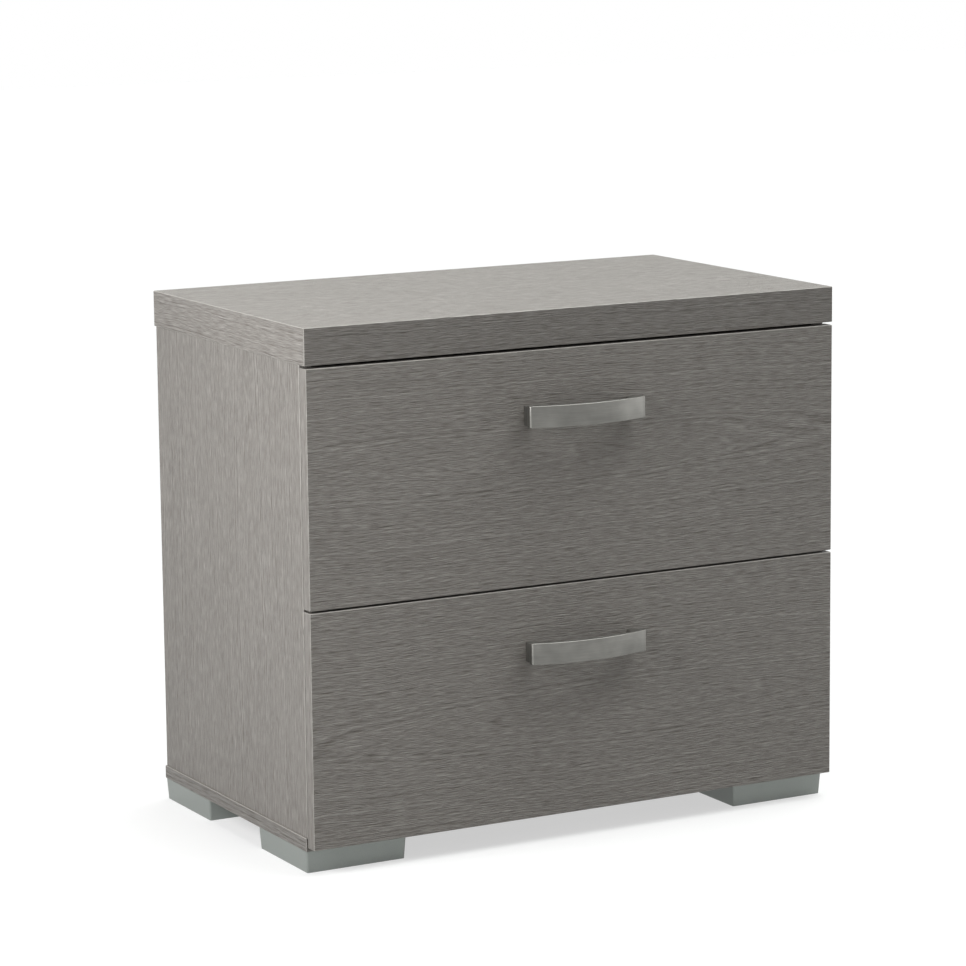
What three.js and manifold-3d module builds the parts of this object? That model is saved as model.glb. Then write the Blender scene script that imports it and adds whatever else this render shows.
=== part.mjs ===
// Nightstand with two drawers, each on a pair of full-extension ball-bearing slides.
// Lengths are in millimetres. +Z is up, the drawers open towards -Y, and +X is to the right from the front.
// The origin is on the floor, at the middle of the space that the closed nightstand and its handles take up.

import * as THREE from "three";
import { mergeVertices } from "three/addons/utils/BufferGeometryUtils.js";
import Module from "manifold-3d";

const wasm = await Module();
wasm.setup();

// Overall size and boards
const TOP_WIDTH = 660;
const TOP_DEPTH = 388;
const OVERALL_HEIGHT = 590;
const TOP_THICKNESS = 40;
const PANEL = 15;
const EDGE_EASE = 0.6;

// How the side panels and the bottom sit under the top
const SIDE_INSET = 1.7;
const SIDE_REAR_INSET = 1.5;
const BOTTOM_INSET = 0.2;

// Drawer fronts, and the gaps round them
const FRONT_PROUD = 1.2;
const TOP_REVEAL = 3.2;
const MIDDLE_REVEAL = 2.5;
const BOTTOM_REVEAL = 5;
const FRONT_SIDE_REVEAL = 1;
const BUMPER_GAP = 3;

// Clearances: between fitted pieces, and the length by which a cut runs past a face
const FIT = 0.3;
const OVERRUN = 5;

// Back panel and its groove
const BACK_THICKNESS = 3;
const BACK_FROM_REAR = 9;
const BACK_GROOVE = 6;

// Feet: hollow moulded blocks
const FOOT_SIZE = 120;
const FOOT_HEIGHT = 24;
const FOOT_INSET = 0.6;
const FOOT_DRAFT = 1.5;
const FOOT_CORNER = 2.5;
const FOOT_WALL = 3;
const FOOT_RIB = 2.4;
const FOOT_BOSS_RADIUS = 6;
const FOOT_BOSS_LENGTH = 14;
const FOOT_BOSS_SPREAD = 64;
const FOOT_SCREW_HOLE_RADIUS = 2.3;

// Drawer boxes
const BOX_BOARD = 12;
const BOX_HEIGHT = 180;
const BOX_DEPTH = 350;
const BOX_RISE = 24;
const BOX_FLOOR = 3;
const BOX_GROOVE = 6;
const BOX_GROOVE_RISE = 12;

// Slides: three rolled steel members, one inside the other, with a ball cage in each of the two gaps
const SLIDE_LENGTH = 350;
const SLIDE_WIDTH = 12.7;
const SLIDE_SETBACK = 3;
const SLIDE_RISE = 80;
const SHEET = 1;
const CAGE_SHEET = 0.3;
const OUTER_BALL_RADIUS = 2.2;
const OUTER_BALL_HEIGHT = 18.9;
const OUTER_BALL_OFFSET = 4.9;
const INNER_BALL_RADIUS = 1.6;
const INNER_BALL_HEIGHT = 14.6;
const INNER_BALL_OFFSET = 9;
const OUTER_WEB_HALF = 18.6;
const MIDDLE_WEB_OFFSET = 2.2;
const MIDDLE_WEB_HALF = 13.5;
const INNER_WEB_HALF = 11.2;
const OUTER_CAGE_OFFSET = 1.35;
const OUTER_CAGE_HALF = 17.3;
const INNER_CAGE_OFFSET = 3.5;
const INNER_CAGE_BEND = 0.6;
const CAGE_BALL_PITCH = 36;
const CAGE_BALLS = 5;
const CAGE_END = 8;
const SLIDE_HOLE_RADIUS = 2.3;
const SLIDE_HOLE_SHARES = [0.1, 0.46, 0.82];
const SLIDE_SLOT_LENGTH = 12;
const SLIDE_SLOT_SHARES = [0.24, 0.92];
const STOP_REACH = 5;
const STOP_HALF = 6;
const STOP_CLEARANCE = 1;

// Catch lever of a slide, on the drawer member between two of its screw holes
const LEVER_LENGTH = 54;
const LEVER_HEIGHT = 9;
const LEVER_NECK = 5;
const LEVER_ARM = 30;
const LEVER_FLARE = 5;
const LEVER_THICKNESS = 1.6;
const LEVER_RIVET_RADIUS = 2.2;
const LEVER_RIVET_RISE = 0.7;
const LEVER_PLACE_SHARE = 0.74;

// Handles: a flat bar bowed outwards, on two legs
const HANDLE_LENGTH = 140;
const HANDLE_HEIGHT = 24;
const HANDLE_SPACING = 128;
const HANDLE_END_REACH = 20;
const HANDLE_REACH = 32;
const HANDLE_BAR = 6;
const HANDLE_LEG = 10.8;
const HANDLE_LEG_DEPTH = 13.5;
const HANDLE_ROUND = 2.4;
const HANDLE_CHAMFER = 0.8;
const HANDLE_DROP = 69.5;

// Handle screws, driven from inside the drawer
const SCREW_RADIUS = 1.9;
const SCREW_HEAD_RADIUS = 3.9;
const SCREW_HEAD_HEIGHT = 2.6;
const SCREW_HEAD_ROUND = 1;
const SCREW_BITE = 8;

// Bumpers on the back of each drawer front
const BUMPER_RADIUS = 4.5;
const BUMPER_DROP = 34;

// How finely round shapes are faceted
const ARC_STEPS = 4;
const BOW_STEPS = 12;
const HOLE_STEPS = 12;
const BALL_STEPS = 6;
const BALL_RINGS = 4;

// Places that several pieces share
const FRONT_REACH = FRONT_PROUD + HANDLE_REACH;
const TOP_FRONT_Y = (FRONT_REACH - TOP_DEPTH) / 2;
const TOP_REAR_Y = TOP_FRONT_Y + TOP_DEPTH;
const FRONT_FACE_Y = TOP_FRONT_Y - FRONT_PROUD;
const FRONT_BACK_Y = FRONT_FACE_Y + PANEL;
const CARCASS_FRONT_Y = FRONT_BACK_Y + BUMPER_GAP;
const TOP_UNDERSIDE_Z = OVERALL_HEIGHT - TOP_THICKNESS;
const BOTTOM_TOP_Z = FOOT_HEIGHT + PANEL;
const SIDE_OUTER_X = TOP_WIDTH / 2 - SIDE_INSET;
const SIDE_INNER_X = SIDE_OUTER_X - PANEL;
const BOX_HALF_WIDTH = SIDE_INNER_X - SLIDE_WIDTH;
const FRONTS_HEIGHT = TOP_UNDERSIDE_Z - TOP_REVEAL - MIDDLE_REVEAL - FOOT_HEIGHT - BOTTOM_REVEAL;
const FRONT_HEIGHT = FRONTS_HEIGHT / 2;
const FRONT_WIDTH = TOP_WIDTH - 2 * FRONT_SIDE_REVEAL;
const LOWER_FRONT_Z = FOOT_HEIGHT + BOTTOM_REVEAL;
const UPPER_FRONT_Z = LOWER_FRONT_Z + FRONT_HEIGHT + MIDDLE_REVEAL;
const BACK_GROOVE_REAR_Y = TOP_REAR_Y - BACK_FROM_REAR;
const BACK_GROOVE_FRONT_Y = BACK_GROOVE_REAR_Y - BACK_THICKNESS - 2 * FIT;

// Finishes
const finishes = {
  oak: () => new THREE.MeshStandardMaterial({ color: 0x7f7974, roughness: 0.62, metalness: 0 }),
  box: () => new THREE.MeshStandardMaterial({ color: 0xa7a29b, roughness: 0.6, metalness: 0 }),
  hardboard: () => new THREE.MeshStandardMaterial({ color: 0x8f8a84, roughness: 0.75, metalness: 0 }),
  silver: () => new THREE.MeshStandardMaterial({ color: 0x8d938f, roughness: 0.45, metalness: 0.3 }),
  nickel: () => new THREE.MeshStandardMaterial({ color: 0x9a9a95, roughness: 0.35, metalness: 1 }),
  zinc: () => new THREE.MeshStandardMaterial({ color: 0xb9bcbe, roughness: 0.35, metalness: 1 }),
  steel: () => new THREE.MeshStandardMaterial({ color: 0xa3a5a8, roughness: 0.25, metalness: 1 }),
  clear: () => new THREE.MeshStandardMaterial({ color: 0xd8dad8, roughness: 0.3, metalness: 0 }),
  black: () => new THREE.MeshStandardMaterial({ color: 0x2c2d2e, roughness: 0.5, metalness: 0 }),
};

// Turns a closed geometry into a solid that can be joined and cut
function solidOf(geometry) {
  const bare = geometry.index ? geometry.toNonIndexed() : geometry.clone();
  bare.deleteAttribute("normal");
  bare.deleteAttribute("uv");
  const merged = mergeVertices(bare);
  const mesh = new wasm.Mesh({
    numProp: 3,
    vertProperties: new Float32Array(merged.attributes.position.array),
    triVerts: new Uint32Array(merged.index.array),
  });
  return new wasm.Manifold(mesh);
}

// Turns a solid back into a geometry with flat faces
function geometryOf(solid) {
  const mesh = solid.getMesh();
  const indexed = new THREE.BufferGeometry();
  indexed.setAttribute("position", new THREE.BufferAttribute(mesh.vertProperties, 3));
  indexed.setIndex(new THREE.BufferAttribute(mesh.triVerts, 1));
  const flat = indexed.toNonIndexed();
  flat.computeVertexNormals();
  return flat;
}

function cut(solid, ...tools) {
  return tools.reduce((rest, tool) => rest.subtract(tool), solid);
}

function join(solid, ...others) {
  return others.reduce((whole, other) => whole.add(other), solid);
}

function meshOf(name, shape, finish) {
  const geometry = shape.isBufferGeometry ? shape : geometryOf(shape);
  const mesh = new THREE.Mesh(geometry, finish());
  mesh.name = name;
  return mesh;
}

// A plain block between two corners, for cuts
function block(low, high) {
  const size = high.map((value, axis) => value - low[axis]);
  const geometry = new THREE.BoxGeometry(...size);
  geometry.translate(...low.map((value, axis) => value + size[axis] / 2));
  return solidOf(geometry);
}

// A board with its low corner at the origin and all its edges slightly eased
function board(width, depth, height) {
  const outline = new THREE.Shape();
  outline.moveTo(EDGE_EASE, 0);
  outline.lineTo(width - EDGE_EASE, 0);
  outline.lineTo(width, EDGE_EASE);
  outline.lineTo(width, depth - EDGE_EASE);
  outline.lineTo(width - EDGE_EASE, depth);
  outline.lineTo(EDGE_EASE, depth);
  outline.lineTo(0, depth - EDGE_EASE);
  outline.lineTo(0, EDGE_EASE);
  outline.closePath();
  const geometry = new THREE.ExtrudeGeometry(outline, {
    depth: height - 2 * EDGE_EASE,
    bevelThickness: EDGE_EASE,
    bevelSize: EDGE_EASE,
    bevelOffset: -EDGE_EASE,
    bevelSegments: 1,
  });
  geometry.translate(0, 0, EDGE_EASE);
  return solidOf(geometry);
}

// A round hole or peg along Y, from one distance to another
function roundAlongY(radius, x, z, fromY, toY) {
  const geometry = new THREE.CylinderGeometry(radius, radius, toY - fromY, HOLE_STEPS);
  geometry.translate(x, (fromY + toY) / 2, z);
  return solidOf(geometry);
}

function roundAlongX(radius, y, z, fromX, toX) {
  const geometry = new THREE.CylinderGeometry(radius, radius, toX - fromX, HOLE_STEPS);
  geometry.rotateZ(Math.PI / 2);
  geometry.translate((fromX + toX) / 2, y, z);
  return solidOf(geometry);
}

function roundAlongZ(radius, x, y, fromZ, toZ) {
  const geometry = new THREE.CylinderGeometry(radius, radius, toZ - fromZ, HOLE_STEPS);
  geometry.rotateX(Math.PI / 2);
  geometry.translate(x, y, (fromZ + toZ) / 2);
  return solidOf(geometry);
}

// Top, with the groove that takes the upper edge of the back panel
function makeTop() {
  const grooveHalf = SIDE_INNER_X + BACK_GROOVE;
  const groove = block(
    [TOP_WIDTH / 2 - grooveHalf, BACK_GROOVE_FRONT_Y - TOP_FRONT_Y, -OVERRUN],
    [TOP_WIDTH / 2 + grooveHalf, BACK_GROOVE_REAR_Y - TOP_FRONT_Y, BACK_GROOVE],
  );
  const mesh = meshOf("top_slab", cut(board(TOP_WIDTH, TOP_DEPTH, TOP_THICKNESS), groove), finishes.oak);
  mesh.position.set(-TOP_WIDTH / 2, TOP_FRONT_Y, TOP_UNDERSIDE_Z);
  return mesh;
}

// Side panel; side is -1 on the left and +1 on the right
function makeSidePanel(name, side) {
  const depth = TOP_REAR_Y - SIDE_REAR_INSET - CARCASS_FRONT_Y;
  const height = TOP_UNDERSIDE_Z - BOTTOM_TOP_Z;
  const innerFace = side < 0 ? PANEL : 0;
  const groove = block(
    [innerFace - BACK_GROOVE, BACK_GROOVE_FRONT_Y - CARCASS_FRONT_Y, -OVERRUN],
    [innerFace + BACK_GROOVE, BACK_GROOVE_REAR_Y - CARCASS_FRONT_Y, height + OVERRUN],
  );
  const mesh = meshOf(name, cut(board(PANEL, depth, height), groove), finishes.oak);
  const lowX = side < 0 ? -SIDE_OUTER_X : SIDE_INNER_X;
  mesh.position.set(lowX, CARCASS_FRONT_Y, BOTTOM_TOP_Z);
  return mesh;
}

function makeBottomPanel() {
  const width = TOP_WIDTH - 2 * BOTTOM_INSET;
  const depth = TOP_REAR_Y - CARCASS_FRONT_Y;
  const grooveHalf = SIDE_INNER_X + BACK_GROOVE;
  const groove = block(
    [width / 2 - grooveHalf, BACK_GROOVE_FRONT_Y - CARCASS_FRONT_Y, PANEL - BACK_GROOVE],
    [width / 2 + grooveHalf, BACK_GROOVE_REAR_Y - CARCASS_FRONT_Y, PANEL + OVERRUN],
  );
  const mesh = meshOf("bottom_panel", cut(board(width, depth, PANEL), groove), finishes.oak);
  mesh.position.set(-width / 2, CARCASS_FRONT_Y, FOOT_HEIGHT);
  return mesh;
}

function makeBackPanel() {
  const tongue = BACK_GROOVE - FIT;
  const width = 2 * (SIDE_INNER_X + tongue);
  const height = TOP_UNDERSIDE_Z - BOTTOM_TOP_Z + 2 * tongue;
  const geometry = new THREE.BoxGeometry(width, BACK_THICKNESS, height);
  const mesh = meshOf("back_panel", geometry, finishes.hardboard);
  const middleZ = (TOP_UNDERSIDE_Z + BOTTOM_TOP_Z) / 2;
  mesh.position.set(0, (BACK_GROOVE_FRONT_Y + BACK_GROOVE_REAR_Y) / 2, middleZ);
  return mesh;
}

function roundedSquare(size, corner) {
  const half = size / 2;
  const outline = new THREE.Shape();
  outline.moveTo(-half + corner, -half);
  outline.lineTo(half - corner, -half);
  outline.quadraticCurveTo(half, -half, half, -half + corner);
  outline.lineTo(half, half - corner);
  outline.quadraticCurveTo(half, half, half - corner, half);
  outline.lineTo(-half + corner, half);
  outline.quadraticCurveTo(-half, half, -half, half - corner);
  outline.lineTo(-half, -half + corner);
  outline.quadraticCurveTo(-half, -half, -half + corner, -half);
  return outline;
}

// The outer form of a foot narrows towards the floor
function footBlock() {
  const geometry = new THREE.ExtrudeGeometry(roundedSquare(FOOT_SIZE, FOOT_CORNER), {
    depth: FOOT_HEIGHT,
    curveSegments: ARC_STEPS,
    bevelEnabled: false,
  });
  const position = geometry.attributes.position;
  const narrowed = (FOOT_SIZE - 2 * FOOT_DRAFT) / FOOT_SIZE;
  for (let i = 0; i < position.count; i += 1) {
    if (position.getZ(i) < FOOT_HEIGHT / 2) {
      position.setXY(i, position.getX(i) * narrowed, position.getY(i) * narrowed);
    }
  }
  return solidOf(geometry);
}

// A foot is open below: outer walls, a top plate, a cross of ribs and four screw bosses
function makeFoot(name, side, end) {
  const cavityHalf = FOOT_SIZE / 2 - FOOT_DRAFT - FOOT_WALL;
  const plateZ = FOOT_HEIGHT - FOOT_WALL;
  const ribEnd = cavityHalf + FOOT_WALL / 2;
  const cavity = block([-cavityHalf, -cavityHalf, -OVERRUN], [cavityHalf, cavityHalf, plateZ]);
  const ribs = [
    block([-ribEnd, -FOOT_RIB / 2, 0], [ribEnd, FOOT_RIB / 2, FOOT_HEIGHT - FOOT_WALL / 2]),
    block([-FOOT_RIB / 2, -ribEnd, 0], [FOOT_RIB / 2, ribEnd, FOOT_HEIGHT - FOOT_WALL / 2]),
  ];
  const bosses = [];
  const holes = [];
  for (const x of [-FOOT_BOSS_SPREAD / 2, FOOT_BOSS_SPREAD / 2]) {
    for (const y of [-FOOT_BOSS_SPREAD / 2, FOOT_BOSS_SPREAD / 2]) {
      bosses.push(roundAlongZ(FOOT_BOSS_RADIUS, x, y, plateZ - FOOT_BOSS_LENGTH, FOOT_HEIGHT - FOOT_WALL / 2));
      holes.push(roundAlongZ(FOOT_SCREW_HOLE_RADIUS, x, y, -OVERRUN, FOOT_HEIGHT + OVERRUN));
    }
  }
  const shell = join(cut(footBlock(), cavity), ...ribs, ...bosses);
  const mesh = meshOf(name, cut(shell, ...holes), finishes.silver);
  const middleX = TOP_WIDTH / 2 - BOTTOM_INSET - FOOT_INSET - FOOT_SIZE / 2;
  const frontY = CARCASS_FRONT_Y + FOOT_INSET + FOOT_SIZE / 2;
  const rearY = TOP_REAR_Y - FOOT_INSET - FOOT_SIZE / 2;
  mesh.position.set(side * middleX, end < 0 ? frontY : rearY, 0);
  return mesh;
}

// Drawer pieces are placed from the lower edge of their front, at its middle, on its front face
function makeDrawerFront(name) {
  const screwHoles = [-HANDLE_SPACING / 2, HANDLE_SPACING / 2].map((x) =>
    roundAlongY(
      SCREW_RADIUS + FIT,
      FRONT_WIDTH / 2 + x,
      FRONT_HEIGHT - HANDLE_DROP,
      -OVERRUN,
      PANEL + OVERRUN,
    ),
  );
  const grooveHalf = BOX_HALF_WIDTH - BOX_BOARD + BOX_GROOVE;
  const grooveZ = BOX_RISE + BOX_GROOVE_RISE;
  const groove = block(
    [FRONT_WIDTH / 2 - grooveHalf, PANEL - BOX_GROOVE, grooveZ],
    [FRONT_WIDTH / 2 + grooveHalf, PANEL + OVERRUN, grooveZ + BOX_FLOOR + 2 * FIT],
  );
  const solid = cut(board(FRONT_WIDTH, PANEL, FRONT_HEIGHT), groove, ...screwHoles);
  const mesh = meshOf(name, solid, finishes.oak);
  mesh.position.set(-FRONT_WIDTH / 2, 0, 0);
  return mesh;
}

function makeBoxSide(name, side) {
  const innerFace = side < 0 ? BOX_BOARD : 0;
  const groove = block(
    [innerFace - BOX_GROOVE, -OVERRUN, BOX_GROOVE_RISE],
    [innerFace + BOX_GROOVE, BOX_DEPTH + OVERRUN, BOX_GROOVE_RISE + BOX_FLOOR + 2 * FIT],
  );
  const mesh = meshOf(name, cut(board(BOX_BOARD, BOX_DEPTH, BOX_HEIGHT), groove), finishes.box);
  const lowX = side < 0 ? -BOX_HALF_WIDTH : BOX_HALF_WIDTH - BOX_BOARD;
  mesh.position.set(lowX, PANEL, BOX_RISE);
  return mesh;
}

// The back of the box stands on the drawer floor, which slides in under it
function makeBoxBack(name) {
  const width = 2 * (BOX_HALF_WIDTH - BOX_BOARD);
  const lowZ = BOX_GROOVE_RISE + 2 * FIT + BOX_FLOOR;
  const mesh = meshOf(name, board(width, BOX_BOARD, BOX_HEIGHT - lowZ), finishes.box);
  mesh.position.set(-width / 2, PANEL + BOX_DEPTH - BOX_BOARD, BOX_RISE + lowZ);
  return mesh;
}

function makeBoxFloor(name) {
  const tongue = BOX_GROOVE - FIT;
  const width = 2 * (BOX_HALF_WIDTH - BOX_BOARD + tongue);
  const depth = BOX_DEPTH + tongue;
  const mesh = meshOf(name, new THREE.BoxGeometry(width, depth, BOX_FLOOR), finishes.hardboard);
  mesh.position.set(0, PANEL - tongue + depth / 2, BOX_RISE + BOX_GROOVE_RISE + FIT + BOX_FLOOR / 2);
  return mesh;
}

// The handle in plan, seen from above: two legs and a bar whose faces are arcs about one centre
function handleOutline() {
  const half = HANDLE_LENGTH / 2;
  const legOuter = HANDLE_SPACING / 2 + HANDLE_LEG / 2;
  const legInner = HANDLE_SPACING / 2 - HANDLE_LEG / 2;
  const arcHalf = half - HANDLE_ROUND;
  const bow = HANDLE_REACH - HANDLE_END_REACH;
  const outerRadius = (arcHalf ** 2 + bow ** 2) / (2 * bow);
  const innerRadius = outerRadius - HANDLE_BAR;
  const centreY = outerRadius - HANDLE_REACH;
  const outerAngle = Math.asin(arcHalf / outerRadius);
  const innerAngle = Math.asin(legInner / innerRadius);
  const down = -Math.PI / 2;
  const outline = new THREE.Shape();
  outline.moveTo(-legOuter, 0);
  outline.lineTo(-legOuter, -HANDLE_LEG_DEPTH);
  outline.lineTo(-half, -HANDLE_LEG_DEPTH);
  outline.lineTo(-half, -HANDLE_END_REACH + HANDLE_ROUND);
  outline.quadraticCurveTo(-half, -HANDLE_END_REACH, -arcHalf, -HANDLE_END_REACH);
  outline.absarc(0, centreY, outerRadius, down - outerAngle, down + outerAngle, false);
  outline.quadraticCurveTo(half, -HANDLE_END_REACH, half, -HANDLE_END_REACH + HANDLE_ROUND);
  outline.lineTo(half, -HANDLE_LEG_DEPTH);
  outline.lineTo(legOuter, -HANDLE_LEG_DEPTH);
  outline.lineTo(legOuter, 0);
  outline.lineTo(legInner, 0);
  outline.absarc(0, centreY, innerRadius, down + innerAngle, down - innerAngle, true);
  outline.lineTo(-legInner, 0);
  outline.closePath();
  return outline;
}

function makeHandle(name) {
  const geometry = new THREE.ExtrudeGeometry(handleOutline(), {
    depth: HANDLE_HEIGHT - 2 * HANDLE_CHAMFER,
    curveSegments: BOW_STEPS,
    bevelThickness: HANDLE_CHAMFER,
    bevelSize: HANDLE_CHAMFER,
    bevelOffset: -HANDLE_CHAMFER,
    bevelSegments: 1,
  });
  geometry.translate(0, 0, HANDLE_CHAMFER - HANDLE_HEIGHT / 2);
  const holes = [-HANDLE_SPACING / 2, HANDLE_SPACING / 2].map((x) =>
    roundAlongY(SCREW_RADIUS + FIT, x, 0, -SCREW_BITE - FIT, OVERRUN),
  );
  const mesh = meshOf(name, cut(solidOf(geometry), ...holes), finishes.nickel);
  mesh.position.set(0, 0, FRONT_HEIGHT - HANDLE_DROP);
  return mesh;
}

// A pan-head screw along Y; its head bears on the back of the drawer front
function makeHandleScrew(name, side) {
  const seatY = PANEL + FIT;
  const topY = seatY + SCREW_HEAD_HEIGHT;
  const profile = [
    [0, -SCREW_BITE],
    [SCREW_RADIUS, -SCREW_BITE],
    [SCREW_RADIUS, seatY],
    [SCREW_HEAD_RADIUS, seatY],
    [SCREW_HEAD_RADIUS, topY - SCREW_HEAD_ROUND],
    [SCREW_HEAD_RADIUS - SCREW_HEAD_ROUND, topY],
    [0, topY],
  ];
  const points = profile.map(([radius, y]) => new THREE.Vector2(radius, y));
  const geometry = new THREE.LatheGeometry(points, HOLE_STEPS);
  const mesh = meshOf(name, solidOf(geometry), finishes.zinc);
  mesh.position.set((side * HANDLE_SPACING) / 2, 0, FRONT_HEIGHT - HANDLE_DROP);
  return mesh;
}

// A soft stop that meets the edge of the side panel; it is as thick as the gap, less the fit
function makeBumper(name, side) {
  const thickness = BUMPER_GAP - FIT;
  const profile = [
    [0, 0],
    [BUMPER_RADIUS, 0],
    [BUMPER_RADIUS, thickness / 2],
    [BUMPER_RADIUS / 2, thickness],
    [0, thickness],
  ];
  const points = profile.map(([radius, y]) => new THREE.Vector2(radius, y));
  const mesh = meshOf(name, solidOf(new THREE.LatheGeometry(points, HOLE_STEPS)), finishes.clear);
  mesh.position.set(side * (SIDE_OUTER_X - PANEL / 2), PANEL, FRONT_HEIGHT - BUMPER_DROP);
  return mesh;
}

// Points on an arc about a centre, angles in degrees
function arc(centre, radius, fromDegrees, toDegrees) {
  return Array.from({ length: ARC_STEPS + 1 }, (_, step) => {
    const degrees = fromDegrees + ((toDegrees - fromDegrees) * step) / ARC_STEPS;
    const angle = THREE.MathUtils.degToRad(degrees);
    return [centre[0] + radius * Math.cos(angle), centre[1] + radius * Math.sin(angle)];
  });
}

// The outline of sheet metal of one thickness that follows a path
function sheetOutline(path, thickness) {
  const points = path.map(([x, y]) => new THREE.Vector2(x, y));
  const directions = points.slice(1).map((point, i) => point.clone().sub(points[i]).normalize());
  const offsets = points.map((_, i) => {
    const before = directions[Math.max(i - 1, 0)];
    const after = directions[Math.min(i, directions.length - 1)];
    const along = before.clone().add(after).normalize();
    const spread = thickness / 2 / along.dot(after);
    return new THREE.Vector2(-along.y * spread, along.x * spread);
  });
  const leftEdge = points.map((point, i) => point.clone().add(offsets[i]));
  const rightEdge = points.map((point, i) => point.clone().sub(offsets[i]));
  return new THREE.Shape([...leftEdge, ...rightEdge.reverse()]);
}

// A path for the upper half, repeated upside down for the lower half
function mirroredPath(upper) {
  const lower = upper.map(([x, y]) => [x, -y]).reverse();
  return [...upper, ...lower];
}

// Sheet metal of one section along Y. The section is drawn from the cabinet side towards the drawer.
function rolledMember(path, thickness, length, side) {
  const placed = path.map(([x, z]) => [-side * x, z]);
  const geometry = new THREE.ExtrudeGeometry(sheetOutline(placed, thickness), {
    depth: length,
    bevelEnabled: false,
  });
  geometry.rotateX(Math.PI / 2);
  geometry.translate(0, length, 0);
  return solidOf(geometry);
}

const outerBall = [OUTER_BALL_OFFSET, OUTER_BALL_HEIGHT];
const innerBall = [INNER_BALL_OFFSET, INNER_BALL_HEIGHT];
const outerRace = OUTER_BALL_RADIUS + FIT + SHEET / 2;
const innerRace = INNER_BALL_RADIUS + FIT + SHEET / 2;

// The cabinet member wraps over the outer balls
const outerPath = mirroredPath([
  ...arc(outerBall, outerRace, 10, 150),
  [SHEET / 2, OUTER_WEB_HALF],
]);

// The middle member passes under the outer balls and over the inner ones
const middlePath = mirroredPath([
  ...arc(innerBall, innerRace, 45, 130),
  ...arc(outerBall, outerRace, 300, 220),
  [MIDDLE_WEB_OFFSET, MIDDLE_WEB_HALF],
]);

// The drawer member carries the inner balls
const innerPath = mirroredPath([
  ...arc(innerBall, innerRace, 200, 315),
  [SLIDE_WIDTH - SHEET / 2, INNER_WEB_HALF],
]);

const outerCagePath = mirroredPath([
  [OUTER_BALL_OFFSET - OUTER_BALL_RADIUS / 2, OUTER_BALL_HEIGHT],
  [OUTER_BALL_OFFSET - OUTER_BALL_RADIUS, OUTER_BALL_HEIGHT],
  [OUTER_CAGE_OFFSET, OUTER_CAGE_HALF],
]);

const innerCagePath = mirroredPath([
  [INNER_BALL_OFFSET - INNER_BALL_RADIUS / 2, INNER_BALL_HEIGHT],
  [INNER_CAGE_OFFSET + INNER_CAGE_BEND, INNER_BALL_HEIGHT],
  [INNER_CAGE_OFFSET, INNER_BALL_HEIGHT - INNER_CAGE_BEND],
]);

function screwHolesInWeb(webX) {
  return SLIDE_HOLE_SHARES.map((share) =>
    roundAlongX(SLIDE_HOLE_RADIUS, share * SLIDE_LENGTH, 0, webX - SHEET - FIT, webX + SHEET + FIT),
  );
}

// Long holes that let the installer shift the slide before its screws are driven
function slotsInWeb(webX) {
  const fromX = webX - SHEET - FIT;
  const toX = webX + SHEET + FIT;
  return SLIDE_SLOT_SHARES.flatMap((share) => {
    const frontY = share * SLIDE_LENGTH - SLIDE_SLOT_LENGTH / 2;
    const rearY = frontY + SLIDE_SLOT_LENGTH;
    return [
      roundAlongX(SLIDE_HOLE_RADIUS, frontY, 0, fromX, toX),
      roundAlongX(SLIDE_HOLE_RADIUS, rearY, 0, fromX, toX),
      block([fromX, frontY, -SLIDE_HOLE_RADIUS], [toX, rearY, SLIDE_HOLE_RADIUS]),
    ];
  });
}

// The rear stop of the cabinet member: a tab bent out of its web. The window that the tab leaves is cut.
function addRearStop(member, side) {
  const stopY = SLIDE_LENGTH - SHEET;
  const tipX = -side * STOP_REACH;
  const tab = block(
    [Math.min(0, tipX), stopY, -STOP_HALF],
    [Math.max(0, tipX), SLIDE_LENGTH, STOP_HALF],
  );
  const window = block([-SHEET - FIT, stopY - STOP_REACH, -STOP_HALF], [SHEET + FIT, stopY, STOP_HALF]);
  return join(cut(member, window), tab);
}

// The lever that frees the drawer: a thumb pad on an arm that turns about a rivet
function makeLever(name, side) {
  const round = LEVER_HEIGHT / 2;
  const neck = LEVER_NECK / 2;
  const outline = new THREE.Shape();
  outline.absarc(0, 0, round, Math.PI / 2, (3 * Math.PI) / 2, false);
  outline.lineTo(LEVER_ARM, -neck);
  outline.lineTo(LEVER_ARM + LEVER_FLARE, -round);
  outline.lineTo(LEVER_LENGTH, -round);
  outline.lineTo(LEVER_LENGTH, round);
  outline.lineTo(LEVER_ARM + LEVER_FLARE, round);
  outline.lineTo(LEVER_ARM, neck);
  outline.closePath();
  const plate = new THREE.ExtrudeGeometry(outline, {
    depth: LEVER_THICKNESS,
    curveSegments: HOLE_STEPS / 2,
    bevelEnabled: false,
  });
  plate.translate(0, 0, -LEVER_THICKNESS / 2);
  plate.rotateY(-Math.PI / 2);
  plate.rotateX(Math.PI / 2);
  const rivetX = side * (LEVER_THICKNESS / 2 + LEVER_RIVET_RISE);
  const rivet = roundAlongX(LEVER_RIVET_RADIUS, 0, 0, Math.min(0, rivetX), Math.max(0, rivetX));
  const mesh = meshOf(name, join(solidOf(plate), rivet), finishes.black);
  const plateX = SLIDE_WIDTH - SHEET - FIT - LEVER_THICKNESS / 2;
  mesh.position.set(-side * plateX, LEVER_PLACE_SHARE * SLIDE_LENGTH, 0);
  return mesh;
}

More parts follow.
